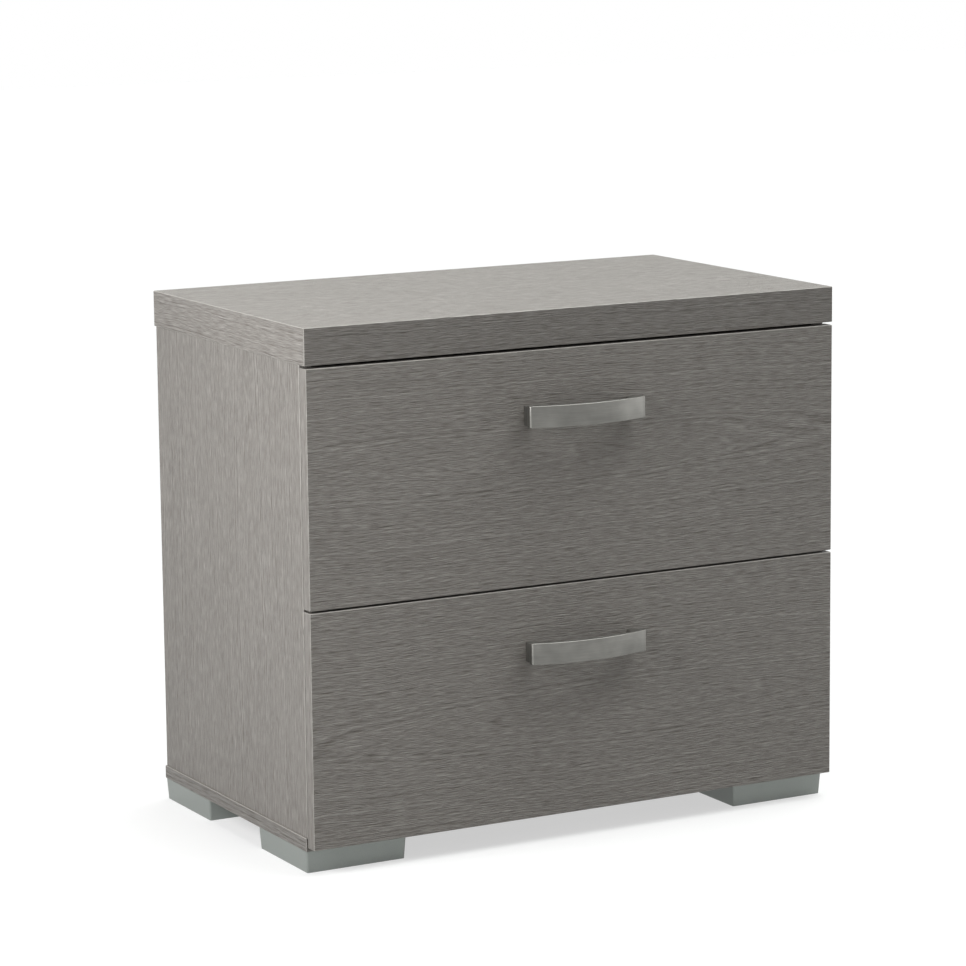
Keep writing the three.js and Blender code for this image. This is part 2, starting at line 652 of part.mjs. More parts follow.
// A cage is a pressed channel with a row of captive balls along its upper and lower edges
function makeCage(name, side, path, ballPlace, ballRadius) {
  const length = (CAGE_BALLS - 1) * CAGE_BALL_PITCH + 2 * CAGE_END;
  const balls = [];
  for (const half of [-1, 1]) {
    for (let i = 0; i < CAGE_BALLS; i += 1) {
      const ball = new THREE.SphereGeometry(ballRadius, BALL_STEPS, BALL_RINGS);
      ball.translate(-side * ballPlace[0], CAGE_END + i * CAGE_BALL_PITCH, half * ballPlace[1]);
      balls.push(solidOf(ball));
    }
  }
  const strip = rolledMember(path, CAGE_SHEET, length, side);
  const mesh = meshOf(name, join(strip, ...balls), finishes.steel);
  mesh.position.set(0, (SLIDE_LENGTH - length) / 2, 0);
  return mesh;
}

// One slide: its six pieces, placed from the inner face of the side panel at mid height of the slide.
// The middle member is shorter than the others, so that it clears the rear stop.
function makeSlide(drawerName, sideName, side) {
  const outerWebX = (-side * SHEET) / 2;
  const innerWebX = -side * (SLIDE_WIDTH - SHEET / 2);
  const rolledOuter = rolledMember(outerPath, SHEET, SLIDE_LENGTH, side);
  const drilledOuter = cut(rolledOuter, ...screwHolesInWeb(outerWebX), ...slotsInWeb(outerWebX));
  const outer = addRearStop(drilledOuter, side);
  const middle = rolledMember(middlePath, SHEET, SLIDE_LENGTH - SHEET - STOP_CLEARANCE, side);
  const rolledInner = rolledMember(innerPath, SHEET, SLIDE_LENGTH, side);
  const inner = cut(rolledInner, ...screwHolesInWeb(innerWebX), ...slotsInWeb(innerWebX));
  const nameOf = (piece) => `${drawerName}_slide_${piece}_${sideName}`;
  const group = new THREE.Group();
  group.add(meshOf(nameOf("outer"), outer, finishes.zinc));
  group.add(meshOf(nameOf("middle"), middle, finishes.zinc));
  group.add(meshOf(nameOf("inner"), inner, finishes.zinc));
  group.add(makeCage(nameOf("outer_cage"), side, outerCagePath, outerBall, OUTER_BALL_RADIUS));
  group.add(makeCage(nameOf("inner_cage"), side, innerCagePath, innerBall, INNER_BALL_RADIUS));
  group.add(makeLever(nameOf("lever"), side));
  return group;
}

function makeDrawer(drawerName, frontZ) {
  const box = new THREE.Group();
  box.position.set(0, FRONT_FACE_Y, frontZ);
  box.add(makeDrawerFront(`${drawerName}_drawer_front`));
  box.add(makeBoxBack(`${drawerName}_drawer_back`));
  box.add(makeBoxFloor(`${drawerName}_drawer_floor`));
  box.add(makeHandle(`${drawerName}_handle`));
  for (const [sideName, side] of [["left", -1], ["right", 1]]) {
    box.add(makeBoxSide(`${drawerName}_drawer_side_${sideName}`, side));
    box.add(makeHandleScrew(`${drawerName}_handle_screw_${sideName}`, side));
    box.add(makeBumper(`${drawerName}_bumper_${sideName}`, side));
  }
  return box;
}

function makeSlides(drawerName, frontZ) {
  const pair = new THREE.Group();
  for (const [sideName, side] of [["left", -1], ["right", 1]]) {
    const slide = makeSlide(drawerName, sideName, side);
    slide.position.set(side * SIDE_INNER_X, CARCASS_FRONT_Y + SLIDE_SETBACK, frontZ + BOX_RISE + SLIDE_RISE);
    pair.add(slide);
  }
  return pair;
}

const nightstand = new THREE.Group();
nightstand.add(makeTop());
nightstand.add(makeSidePanel("side_panel_left", -1));
nightstand.add(makeSidePanel("side_panel_right", 1));
nightstand.add(makeBottomPanel());
nightstand.add(makeBackPanel());
nightstand.add(makeFoot("foot_front_left", -1, -1));
nightstand.add(makeFoot("foot_front_right", 1, -1));
nightstand.add(makeFoot("foot_rear_left", -1, 1));
nightstand.add(makeFoot("foot_rear_right", 1, 1));
for (const [drawerName, frontZ] of [["upper", UPPER_FRONT_Z], ["lower", LOWER_FRONT_Z]]) {
  nightstand.add(makeDrawer(drawerName, frontZ));
  nightstand.add(makeSlides(drawerName, frontZ));
}

export default nightstand;
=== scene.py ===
"""Nightstand with drawers: finishes, fittings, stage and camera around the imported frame."""

import math

import bmesh
import bpy
from mathutils import Matrix, Vector


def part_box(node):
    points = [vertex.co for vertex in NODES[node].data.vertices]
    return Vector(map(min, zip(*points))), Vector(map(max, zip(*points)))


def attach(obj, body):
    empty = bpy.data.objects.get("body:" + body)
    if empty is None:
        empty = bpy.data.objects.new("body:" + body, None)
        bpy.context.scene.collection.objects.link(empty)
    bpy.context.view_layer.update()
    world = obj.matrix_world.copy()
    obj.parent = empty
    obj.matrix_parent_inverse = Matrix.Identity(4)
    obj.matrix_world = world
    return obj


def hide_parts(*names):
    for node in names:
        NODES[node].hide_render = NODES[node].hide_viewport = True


bl_info = {
    "name": "Nightstand with drawers",
    "version": (1, 0, 0),
    "blender": (4, 5, 0),
    "location": "3D View > Sidebar > Nightstand",
    "description": "Finishes, fittings, stage and camera for a two-drawer nightstand",
    "category": "Object",
}

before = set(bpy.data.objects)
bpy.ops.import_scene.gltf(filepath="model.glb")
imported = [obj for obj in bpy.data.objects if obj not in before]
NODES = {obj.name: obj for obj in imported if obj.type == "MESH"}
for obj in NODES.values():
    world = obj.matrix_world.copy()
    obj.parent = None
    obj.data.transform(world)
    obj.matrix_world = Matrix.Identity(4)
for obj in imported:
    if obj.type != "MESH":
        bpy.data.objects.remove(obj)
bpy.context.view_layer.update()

MM = 0.001
DRAWERS = ("upper", "lower")
SIDES = ("left", "right")
SIDE_SIGNS = {"left": -1, "right": 1}
FEET = ("front_left", "front_right", "rear_left", "rear_right")
AXES = {"X": (1, 0, 0), "Y": (0, 1, 0), "Z": (0, 0, 1)}

# A face looks along an axis where its normal has more than this share along it
FACING = 0.8

# A flat face has at least this share along one axis, and a rounded arris along none
FLAT = 0.9

# A noise texture swings about this value
NOISE_MIDDLE = 0.5

# Steps round a screw head, along the bow of a handle and round each end of its bar
HEAD_STEPS = 24
BOW_STEPS = 48
CORNER_STEPS = 6

# A screw head's radius at its shoulder and at its crown, as shares of its radius at the base
SHOULDER_SHARE = 0.93
CROWN_SHARE = 0.66

# Width of a slot of the cross recess over its length, and height of its cutter over the head's rise.
# Half of the cutter stands above the head.
SLOT_SHARE = 0.22
CUTTER_SHARE = 1.1

# A prism's edges are rounded where they turn by more than the first angle, in this many steps, and the
# handle is shaded sharp where it turns by more than the second
ROUNDED_ANGLE = math.radians(30)
ROUNDING_STEPS = 3
SHARP_ANGLE = math.radians(40)

# Places of screws and cams, as shares of the length of a slide or of a board
SLIDE_SCREW_SHARES = (0.1, 0.46, 0.82)
CARCASS_CAM_SHARES = (0.16, 0.84)
BOX_SCREW_SHARES = (0.22, 0.8)

# Half the width of the studio floor, and how far it lies under the feet
FLOOR_HALF = 12
FLOOR_DROP = 0.1 * MM

# All lamps point here. Each area lamp has its place and its width and height.
LAMP_TARGET = Vector((0, 0, 0.3))
AREA_LAMPS = {
    "softbox": ((-1.4, -0.3, 0.9), (0.7, 0.7)),
    "strip": ((-1.25, -0.85, 0.55), (0.15, 0.9)),
    "card": ((1.75, -0.85, 0.4), (1, 0.8)),
}
OVERHEAD_PLACE = Vector((0.9, -0.1, 3))
OVERHEAD_SPREAD = math.radians(60)
OVERHEAD_TINT = (0.97, 1, 0.98)

# Width of the camera's sensor in millimetres, and how far it sees in metres
SENSOR_WIDTH = 36
VIEW_DEPTH = 100


def linear(code):
    """An sRGB hex value as linear red, green and blue."""
    shares = [int(code[i : i + 2], 16) / 255 for i in (1, 3, 5)]
    return tuple(s / 12.92 if s <= 0.04045 else ((s + 0.055) / 1.055) ** 2.4 for s in shares)


def colour(name, description, code):
    """A colour that the user can change."""
    return bpy.props.FloatVectorProperty(
        name=name,
        description=description,
        subtype="COLOR",
        size=3,
        min=0,
        max=1,
        default=linear(code),
    )


def number(name, description, default, **limits):
    """A number that the user can change."""
    return bpy.props.FloatProperty(name=name, description=description, default=default, **limits)


def length(name, description, metres):
    """A length that the user can change."""
    return number(name, description, metres, unit="LENGTH", min=0, precision=5)


class NightstandColours(bpy.types.PropertyGroup):
    """Colours of the finishes"""

    oak_dark: colour("Oak, pores", "Dark pores of the printed grain", "#6e6861")
    oak_mid: colour("Oak, dark bands", "Darker bands of the ground", "#aaa5a0")
    oak_light: colour("Oak, light bands", "Lighter bands of the ground", "#c0bbb6")
    edging: colour("Edging shade", "Shade of the darker edging over the print", "#e9e9e9")
    chipboard_light: colour("Chipboard, light", "Pale chips of a bare board edge", "#c4a982")
    chipboard_dark: colour("Chipboard, dark", "Dark chips of a bare board edge", "#8d7049")
    melamine: colour("Melamine", "Drawer boxes", "#d3d0ca")
    lacquer: colour("Lacquer", "Painted face of the hardboard", "#cfccc6")
    fibre_light: colour("Hardboard, light", "Pale fibres of the bare hardboard face", "#94755a")
    fibre_dark: colour("Hardboard, dark", "Dark fibres of the bare hardboard face", "#66503c")
    silver: colour("Silver paint", "Feet", "#959a96")
    nickel: colour("Nickel", "Handles", "#7b7a76")
    zinc: colour("Zinc", "Slides and screws", "#b4b8bd")
    cam: colour("Die-cast zinc", "Cam fittings and ball cages", "#8b8d91")
    ball: colour("Ball steel", "Balls of the slides", "#c9cbce")
    bumper: colour("Bumper", "Soft stops behind the drawer fronts", "#dfe2e1")
    floor: colour("Floor", "Studio floor as the camera sees it, under its glow", "#b4b4b4")
    floor_bounce: colour("Floor bounce", "Studio floor as it lights the object", "#787878")
    lever: colour("Black acetal", "Catch levers of the slides", "#2c2d2e")


class NightstandSizes(bpy.types.PropertyGroup):
    """Sizes of the patterns and fittings"""

    pore_width: length("Pore width", "Width of the finest pores as drawn", 0.75 * MM)
    pore_depth: length("Pore depth", "Depth of the embossed pores as drawn", 1.05 * MM)
    break_width: length("Row width", "Width of a row before it breaks up", 2 * MM)
    figure_width: length("Figure width", "Width of one band of the grain", 14 * MM)
    ring_spacing: length("Ring spacing", "Mean distance between growth rings", 2.6 * MM)
    ring_ragged: length("Ring raggedness", "How far a ring strays from its oval", 10 * MM)
    grain_wander: length("Grain wander", "How far the lines stray from straight", 7 * MM)
    wander_length: length("Wander length", "Distance over which the lines stray", 130 * MM)
    grain_stretch: number("Grain stretch", "Length of the grain over its width on a face", 14, min=1)
    edging_stretch: number("Edging stretch", "The same on the edging at the ends", 28, min=1)
    pore_run: number("Pore run", "How many times longer still the pores of a face are", 1.6, min=1)
    chip: length("Chip", "Size of a wood chip in the board", 2.2 * MM)
    handle_edge: length("Handle edge", "Radius of the handle's edges", 1 * MM)
    handle_bar: length("Handle bar", "Thickness of the handle's bar", 6 * MM)
    handle_bow: length("Handle bow", "How far the bar bows out", 12 * MM)
    handle_corner: length("Handle corner", "Radius at the ends of the bar", 2.6 * MM)
    handle_overhang: length("Handle overhang", "How far the bar runs past its CAD length", 2.3 * MM)
    leg_inset: length("Leg inset", "From the end of the bar to its leg", 3.1 * MM)
    leg_width: length("Leg width", "Width of a handle leg", 10.8 * MM)
    leg_drop: length("Leg drop", "How far a leg stays under the bar's top", 2 * MM)
    brush_line: length("Brush line", "Width of a brushed line as drawn on the handle", 0.5 * MM)
    foot_screw: length("Foot screw", "Head diameter of a foot screw", 8 * MM)
    foot_screw_rise: length("Foot screw rise", "Head height of a foot screw", 2.4 * MM)
    boss_spread: length("Boss spread", "Distance between the screws of a foot", 64 * MM)
    boss_end: length("Boss end", "Height of the boss ends above the floor", 7 * MM)
    slide_screw: length("Slide screw", "Head diameter of a slide screw", 4.4 * MM)
    slide_screw_rise: length("Slide screw rise", "Head height of a slide screw", 0.9 * MM)
    box_screw: length("Box screw", "Head diameter of a drawer box screw", 7 * MM)
    cam_width: length("Cam width", "Diameter of a cam fitting", 15 * MM)
    cam_rise: length("Cam rise", "How far a cam fitting or box screw stands off the board", 0.5 * MM)
    cam_inset: length("Cam inset", "Distance from a cam fitting to the joint", 34 * MM)
    ball_pitch: length("Ball pitch", "Distance between the balls of a cage", 9 * MM)
    cage_end: length("Cage end", "From the end of a cage to its first ball", 8 * MM)
    outer_ball: length("Outer ball", "Diameter of a ball beside the cabinet", 4.4 * MM)
    outer_ball_rise: length("Outer ball rise", "Height over the slide's middle", 18.9 * MM)
    outer_ball_offset: length("Outer ball offset", "Distance from the side panel", 4.9 * MM)
    inner_ball: length("Inner ball", "Diameter of a ball beside the drawer", 3.2 * MM)
    inner_ball_rise: length("Inner ball rise", "Height over the slide's middle", 14.6 * MM)
    inner_ball_offset: length("Inner ball offset", "Distance from the side panel", 9 * MM)


class NightstandStage(bpy.types.PropertyGroup):
    """Camera and light"""

    target: bpy.props.FloatVectorProperty(
        name="Target",
        description="Point on the middle of the view",
        subtype="TRANSLATION",
        size=3,
        default=(-0.09402, -0.1774, 0.43026),
    )
    azimuth: number("Azimuth", "Turn round the object", math.radians(-28.833), subtype="ANGLE")
    elevation: number("Elevation", "Angle above level", math.radians(9.554), subtype="ANGLE")
    roll: number("Roll", "Turn about the view line", math.radians(-0.545), subtype="ANGLE")
    distance: length("Distance", "From the camera to the target", 3.9776)
    lens: number("Lens", "Focal length", 137.73, subtype="DISTANCE_CAMERA")
    shift: bpy.props.FloatVectorProperty(
        name="Shift", description="Shift of the view, as a share of it", size=2, default=(-0.0213, -0.0238)
    )
    sky: number("Sky", "Even light from all round", 0.17, min=0)
    overhead: number("Overhead", "Even soft light from above", 2.7, min=0)
    softbox: number("Softbox", "Near lamp at the upper left", 14.2, unit="POWER", min=0)
    strip: number("Strip", "Low lamp that edges the handles", 1.1, unit="POWER", min=0)
    card: number("Card", "Weak card at the right for the handles", 3, unit="POWER", min=0)
    shadow_lift: number(
        "Shadow lift", "Brightness of the darkest shadow on the floor", 0.57, subtype="FACTOR", min=0, max=1
    )


class NightstandSettings(bpy.types.PropertyGroup):
    """All settings of the nightstand"""

    colours: bpy.props.PointerProperty(type=NightstandColours)
    sizes: bpy.props.PointerProperty(type=NightstandSizes)
    stage: bpy.props.PointerProperty(type=NightstandStage)


def node(tree, kind, inputs=None, **settings):
    """Adds a node with its settings. An input is a value, an output, or a node whose first output in use
    feeds it. A name means the first input in use that has it."""
    made = tree.nodes.new(kind)
    for name, value in settings.items():
        setattr(made, name, value)
    for key, value in (inputs or {}).items():
        in_use = [socket for socket in made.inputs if socket.enabled and socket.name == key]
        socket = in_use[0] if in_use else made.inputs[key]
        if isinstance(value, bpy.types.Node):
            value = next(output for output in value.outputs if output.enabled)
        if isinstance(value, bpy.types.NodeSocket):
            tree.links.new(value, socket)
        else:
            socket.default_value = value
    return made


def new_material(name):
    """An empty material and its tree."""
    material = bpy.data.materials.new(name)
    material.use_nodes = True
    material.node_tree.nodes.clear()
    return material, material.node_tree


def surface(tree, inputs):
    """Adds the surface shader with its inputs, and the output of the material."""
    shader = node(tree, "ShaderNodeBsdfPrincipled", inputs)
    node(tree, "ShaderNodeOutputMaterial", {"Surface": shader})


def arris_share(tree, parts, share):
    """A share on the rounded arrises, which face two ways at once, and nothing on the flat faces."""
    wider = node(
        tree, "ShaderNodeMath", {0: parts.outputs["X"], 1: parts.outputs["Y"]}, operation="MAXIMUM"
    )
    widest = node(tree, "ShaderNodeMath", {0: wider, 1: parts.outputs["Z"]}, operation="MAXIMUM")
    arris = node(tree, "ShaderNodeMath", {0: widest, 1: FLAT}, operation="LESS_THAN")
    return node(tree, "ShaderNodeMath", {0: arris, 1: share}, operation="MULTIPLY")


def seen_share(tree):
    """1 on a ray from the camera, also by way of gloss or glass, and 0 on a ray that only lights."""
    ray = node(tree, "ShaderNodeLightPath")
    straight, glossy = ray.outputs["Is Camera Ray"], ray.outputs["Is Glossy Ray"]
    seen = node(tree, "ShaderNodeMath", {0: straight, 1: glossy}, operation="MAXIMUM")
    through = ray.outputs["Is Transmission Ray"]
    return node(tree, "ShaderNodeMath", {0: seen, 1: through}, operation="MAXIMUM")


def grey_oak_laminate(context, name, grain, edge_grain, offset, dull_faces, bare_rear):
    """Grey oak print under a matt film embossed in step with it, on chipboard: short sunk pores along the
    grain, a faint figure of growth rings, a soft sheen at a low angle, and a painted highlight that makes
    the arrises lighter. Real pores are 0.1 to 0.3 mm wide and no deeper. That is too fine to show in the
    render, so they are drawn coarser and deeper."""
    speck_share = 0.55
    # Share of the pale melamine colour painted on the arrises as a highlight
    arris_highlight_share = 0.6
    colours = context.scene.nightstand.colours
    sizes = context.scene.nightstand.sizes
    material, tree = new_material(name)
    place = node(tree, "ShaderNodeTexCoord")
    facing = node(tree, "ShaderNodeVectorMath", {0: place.outputs["Normal"]}, operation="ABSOLUTE")
    parts = node(tree, "ShaderNodeSeparateXYZ", {0: facing})

    # The offset puts the middle of the ring figure where it lies on this board
    centred = node(tree, "ShaderNodeMapping", {"Vector": place.outputs["Object"], "Location": offset})

    # The lines stray a little from straight
    wander = node(
        tree, "ShaderNodeTexNoise", {"Vector": centred, "Scale": 1 / sizes.wander_length, "Detail": 1}
    )
    stray = node(
        tree,
        "ShaderNodeMath",
        {0: wander, 1: sizes.grain_wander, 2: -sizes.grain_wander / 2},
        operation="MULTIPLY_ADD",
    )
    strayed = node(tree, "ShaderNodeVectorMath", {0: centred, 1: stray}, operation="ADD")

    # On the ends of the board the edging carries the grain along the edge, and stretches it more
    face_scale = [1 / sizes.grain_stretch if axis == grain else 1 for axis in AXES]
    edge_scale = [1 / sizes.edging_stretch if axis == edge_grain else 1 for axis in AXES]
    is_end = node(tree, "ShaderNodeMath", {0: parts.outputs[grain], 1: FACING}, operation="GREATER_THAN")
    scale = node(
        tree, "ShaderNodeMix", {"Factor": is_end, "A": face_scale, "B": edge_scale}, data_type="VECTOR"
    )
    sized = node(tree, "ShaderNodeVectorMath", {0: strayed, 1: scale}, operation="MULTIPLY")

    # Each face carries its own sheet, so the depth under it doesn't count
    flat = node(tree, "ShaderNodeVectorMath", {0: (1, 1, 1), 1: facing}, operation="SUBTRACT")
    along = node(tree, "ShaderNodeVectorMath", {0: sized, 1: flat}, operation="MULTIPLY")

    # Broad bands give the ground its figure
    bands = node(
        tree,
        "ShaderNodeTexNoise",
        {"Vector": along, "Scale": 1 / sizes.figure_width, "Detail": 2, "Roughness": 0.55},
    )
    ground = node(
        tree,
        "ShaderNodeMix",
        {"Factor": bands, "A": (*colours.oak_mid, 1), "B": (*colours.oak_light, 1)},
        data_type="RGBA",
    )

    # Growth rings differ in width and strength, and on a face they draw long ragged ovals
    radius = node(tree, "ShaderNodeVectorMath", {0: along}, operation="LENGTH")
    ragged = node(
        tree, "ShaderNodeMath", {0: bands, 1: sizes.ring_ragged, 2: radius}, operation="MULTIPLY_ADD"
    )
    rings = node(
        tree,
        "ShaderNodeTexNoise",
        {"W": ragged, "Scale": 1 / sizes.ring_spacing, "Detail": 2},
        noise_dimensions="1D",
    )

    # Pores lie in rows along the rings; each row breaks up into short lines
    breaks = node(
        tree, "ShaderNodeTexNoise", {"Vector": along, "Scale": 1 / sizes.break_width, "Detail": 2}
    )
    strength = node(
        tree, "ShaderNodeMapRange", {"Value": breaks, "From Min": 0.4, "From Max": 0.6, "To Max": 2.8}
    )
    swing = node(tree, "ShaderNodeMath", {0: rings, 1: NOISE_MIDDLE}, operation="SUBTRACT")
    rows = node(
        tree, "ShaderNodeMath", {0: swing, 1: strength, 2: NOISE_MIDDLE}, operation="MULTIPLY_ADD"
    )

    # Single pores are longer and thinner than the breaks of a row
    run_scale = [1 / sizes.pore_run if axis == grain else 1 for axis in AXES]
    longer = node(tree, "ShaderNodeVectorMath", {0: along, 1: run_scale}, operation="MULTIPLY")
    specks = node(
        tree, "ShaderNodeTexNoise", {"Vector": longer, "Scale": 1 / sizes.pore_width, "Detail": 2}
    )
    sharp_specks = node(tree, "ShaderNodeMapRange", {"Value": specks, "From Min": 0.35, "From Max": 0.65})
    pore = node(
        tree, "ShaderNodeMix", {"Factor": speck_share, "A": rows, "B": sharp_specks}, data_type="FLOAT"
    )
    finish = node(
        tree, "ShaderNodeMix", {"Factor": pore, "A": ground, "B": (*colours.oak_dark, 1)}, data_type="RGBA"
    )
    if dull_faces:
        # The faces along this axis are drawn darker, multiplied by the edging shade
        dull = node(
            tree, "ShaderNodeMath", {0: parts.outputs[dull_faces], 1: FACING}, operation="GREATER_THAN"
        )
        finish = node(
            tree,
            "ShaderNodeMix",
            {"Factor": dull, "A": finish, "B": (*colours.edging, 1)},
            data_type="RGBA",
            blend_type="MULTIPLY",
        )
    # Painted highlight: the rounded arrises are mixed towards the pale melamine colour, as if they caught
    # the light
    arris_highlight = arris_share(tree, parts, arris_highlight_share)
    finish = node(
        tree, "ShaderNodeMix", {"Factor": arris_highlight, "A": finish, "B": (*colours.melamine, 1)}, data_type="RGBA"
    )
    if bare_rear:
        # The rear edge has no edging and shows the chips of the board
        chips = node(
            tree, "ShaderNodeTexVoronoi", {"Vector": place.outputs["Object"], "Scale": 1 / sizes.chip}
        )
        chip_tone = node(tree, "ShaderNodeSeparateColor", {0: chips.outputs["Color"]})
        dark, light = (*colours.chipboard_dark, 1), (*colours.chipboard_light, 1)
        board = node(tree, "ShaderNodeMix", {"Factor": chip_tone, "A": dark, "B": light}, data_type="RGBA")
        signed = node(tree, "ShaderNodeSeparateXYZ", {0: place.outputs["Normal"]})
        rear = node(tree, "ShaderNodeMath", {0: signed.outputs["Y"], 1: FACING}, operation="GREATER_THAN")
        finish = node(tree, "ShaderNodeMix", {"Factor": rear, "A": finish, "B": board}, data_type="RGBA")
    relief = node(
        tree,
        "ShaderNodeBump",
        {"Strength": 1, "Distance": sizes.pore_depth, "Height": pore},
        invert=True,
    )
    gloss = node(tree, "ShaderNodeMapRange", {"Value": pore, "To Min": 0.38, "To Max": 0.54})
    surface(tree, {"IOR": 1.45, "Base Color": finish, "Normal": relief, "Roughness": gloss})
    return material


def pearl_melamine(context):
    """Melamine film on chipboard with a fine pearl emboss: an even pale grey, nearly matt. The pearls are
    drawn coarser than real ones, so that they show."""
    pearl_size = 1.2 * MM
    cloud_size = 70 * MM
    colours = context.scene.nightstand.colours
    material, tree = new_material("Pearl melamine")
    place = node(tree, "ShaderNodeTexCoord").outputs["Object"]
    pearl = node(tree, "ShaderNodeTexNoise", {"Vector": place, "Scale": 1 / pearl_size})
    cloud = node(tree, "ShaderNodeTexNoise", {"Vector": place, "Scale": 1 / cloud_size})
    shade = node(tree, "ShaderNodeMapRange", {"Value": cloud, "To Min": 0.94, "To Max": 1.04})
    film = node(tree, "ShaderNodeVectorMath", {0: colours.melamine, "Scale": shade}, operation="SCALE")
    relief = node(tree, "ShaderNodeBump", {"Strength": 0.3, "Distance": 0.08 * MM, "Height": pearl})
    surface(tree, {"IOR": 1.5, "Roughness": 0.48, "Base Color": film, "Normal": relief})
    return material


def lacquered_hardboard(context, name, painted_axis, painted_sign):
    """Pressed wood fibre, lacquered on one face: a plain pale grey inside, brown and felted outside. The
    fibres are drawn as bundles of 3 mm, because single ones are too fine to show."""
    fibre_size = 3 * MM
    half_turned = 0.5
    colours = context.scene.nightstand.colours
    material, tree = new_material(name)
    place = node(tree, "ShaderNodeTexCoord")
    fibre = node(
        tree,
        "ShaderNodeTexNoise",
        {"Vector": place.outputs["Object"], "Scale": 1 / fibre_size, "Detail": 6, "Roughness": 0.7},
    )
    dark, light = (*colours.fibre_dark, 1), (*colours.fibre_light, 1)
    bare = node(tree, "ShaderNodeMix", {"Factor": fibre, "A": dark, "B": light}, data_type="RGBA")
    sense = [painted_sign * share for share in AXES[painted_axis]]
    toward = node(
        tree, "ShaderNodeVectorMath", {0: place.outputs["Normal"], 1: sense}, operation="DOT_PRODUCT"
    )
    painted = node(tree, "ShaderNodeMath", {0: toward, 1: half_turned}, operation="GREATER_THAN")
    lacquer = (*colours.lacquer, 1)
    face = node(tree, "ShaderNodeMix", {"Factor": painted, "A": bare, "B": lacquer}, data_type="RGBA")
    gloss = node(tree, "ShaderNodeMapRange", {"Value": painted, "To Min": 0.8, "To Max": 0.45})
    relief = node(tree, "ShaderNodeBump", {"Strength": 0.3, "Distance": 0.1 * MM, "Height": fibre})
    surface(tree, {"Base Color": face, "Roughness": gloss, "Normal": relief})
    return material


def silver_painted_abs(context):
    """Moulded ABS sprayed satin silver: a cool grey with fine flake, and a sheen between paint and metal.
    Real flakes are under 0.05 mm, so they are drawn far coarser, to show."""
    flake_size = 0.9 * MM
    cloud_size = 25 * MM
    colours = context.scene.nightstand.colours
    material, tree = new_material("Silver painted ABS")
    place = node(tree, "ShaderNodeTexCoord").outputs["Object"]
    flake = node(tree, "ShaderNodeTexNoise", {"Vector": place, "Scale": 1 / flake_size, "Detail": 3})
    cloud = node(tree, "ShaderNodeTexNoise", {"Vector": place, "Scale": 1 / cloud_size})
    mixed = node(tree, "ShaderNodeMix", {"Factor": 0.4, "A": flake, "B": cloud}, data_type="FLOAT")
    shade = node(tree, "ShaderNodeMapRange", {"Value": mixed, "To Min": 0.82, "To Max": 1.18})
    paint = node(tree, "ShaderNodeVectorMath", {0: colours.silver, "Scale": shade}, operation="SCALE")
    gloss = node(tree, "ShaderNodeMapRange", {"Value": cloud, "To Min": 0.34, "To Max": 0.46})
    relief = node(tree, "ShaderNodeBump", {"Strength": 0.15, "Distance": 0.05 * MM, "Height": flake})
    surface(
        tree, {"IOR": 1.5, "Metallic": 0.5, "Base Color": paint, "Roughness": gloss, "Normal": relief}
    )
    return material


def brushed_nickel(context):
    """Die-cast zinc, brushed along its length, nickel plated and lacquered: a grey metal with fine level
    lines, whose lacquer also scatters some light. Real lines are about 0.05 mm wide, so they are drawn
    coarser, to show."""
    line_stretch = 0.02
    cloud_size = 25 * MM
    # Share of lightness painted on the arrises as a highlight
    edge_highlight_share = 0.35
    colours = context.scene.nightstand.colours
    sizes = context.scene.nightstand.sizes
    material, tree = new_material("Brushed nickel plate")
    place = node(tree, "ShaderNodeTexCoord")
    facing = node(tree, "ShaderNodeVectorMath", {0: place.outputs["Normal"]}, operation="ABSOLUTE")
    parts = node(tree, "ShaderNodeSeparateXYZ", {0: facing})
    level_scale = (line_stretch, line_stretch, 1)
    stretched = node(
        tree, "ShaderNodeMapping", {"Vector": place.outputs["Object"], "Scale": level_scale}
    )
    lines = node(
        tree, "ShaderNodeTexNoise", {"Vector": stretched, "Scale": 1 / sizes.brush_line, "Detail": 2}
    )
    cloud = node(tree, "ShaderNodeTexNoise", {"Vector": place.outputs["Object"], "Scale": 1 / cloud_size})
    mixed = node(tree, "ShaderNodeMix", {"Factor": 0.6, "A": lines, "B": cloud}, data_type="FLOAT")
    shade = node(
        tree,
        "ShaderNodeMapRange",
        {"Value": mixed, "From Min": 0.35, "From Max": 0.65, "To Min": 0.82, "To Max": 1.18},
    )

    # Painted highlight: the arrises are drawn lighter, as where they catch the light
    edge_highlight = arris_share(tree, parts, edge_highlight_share)
    bright = node(tree, "ShaderNodeMath", {0: shade, 1: edge_highlight}, operation="ADD")
    plate = node(tree, "ShaderNodeVectorMath", {0: colours.nickel, "Scale": bright}, operation="SCALE")
    gloss = node(tree, "ShaderNodeMapRange", {"Value": lines, "To Min": 0.3, "To Max": 0.42})
    relief = node(tree, "ShaderNodeBump", {"Strength": 0.2, "Distance": 0.03 * MM, "Height": lines})
    surface(tree, {"Metallic": 0.75, "Base Color": plate, "Roughness": gloss, "Normal": relief})
    return material


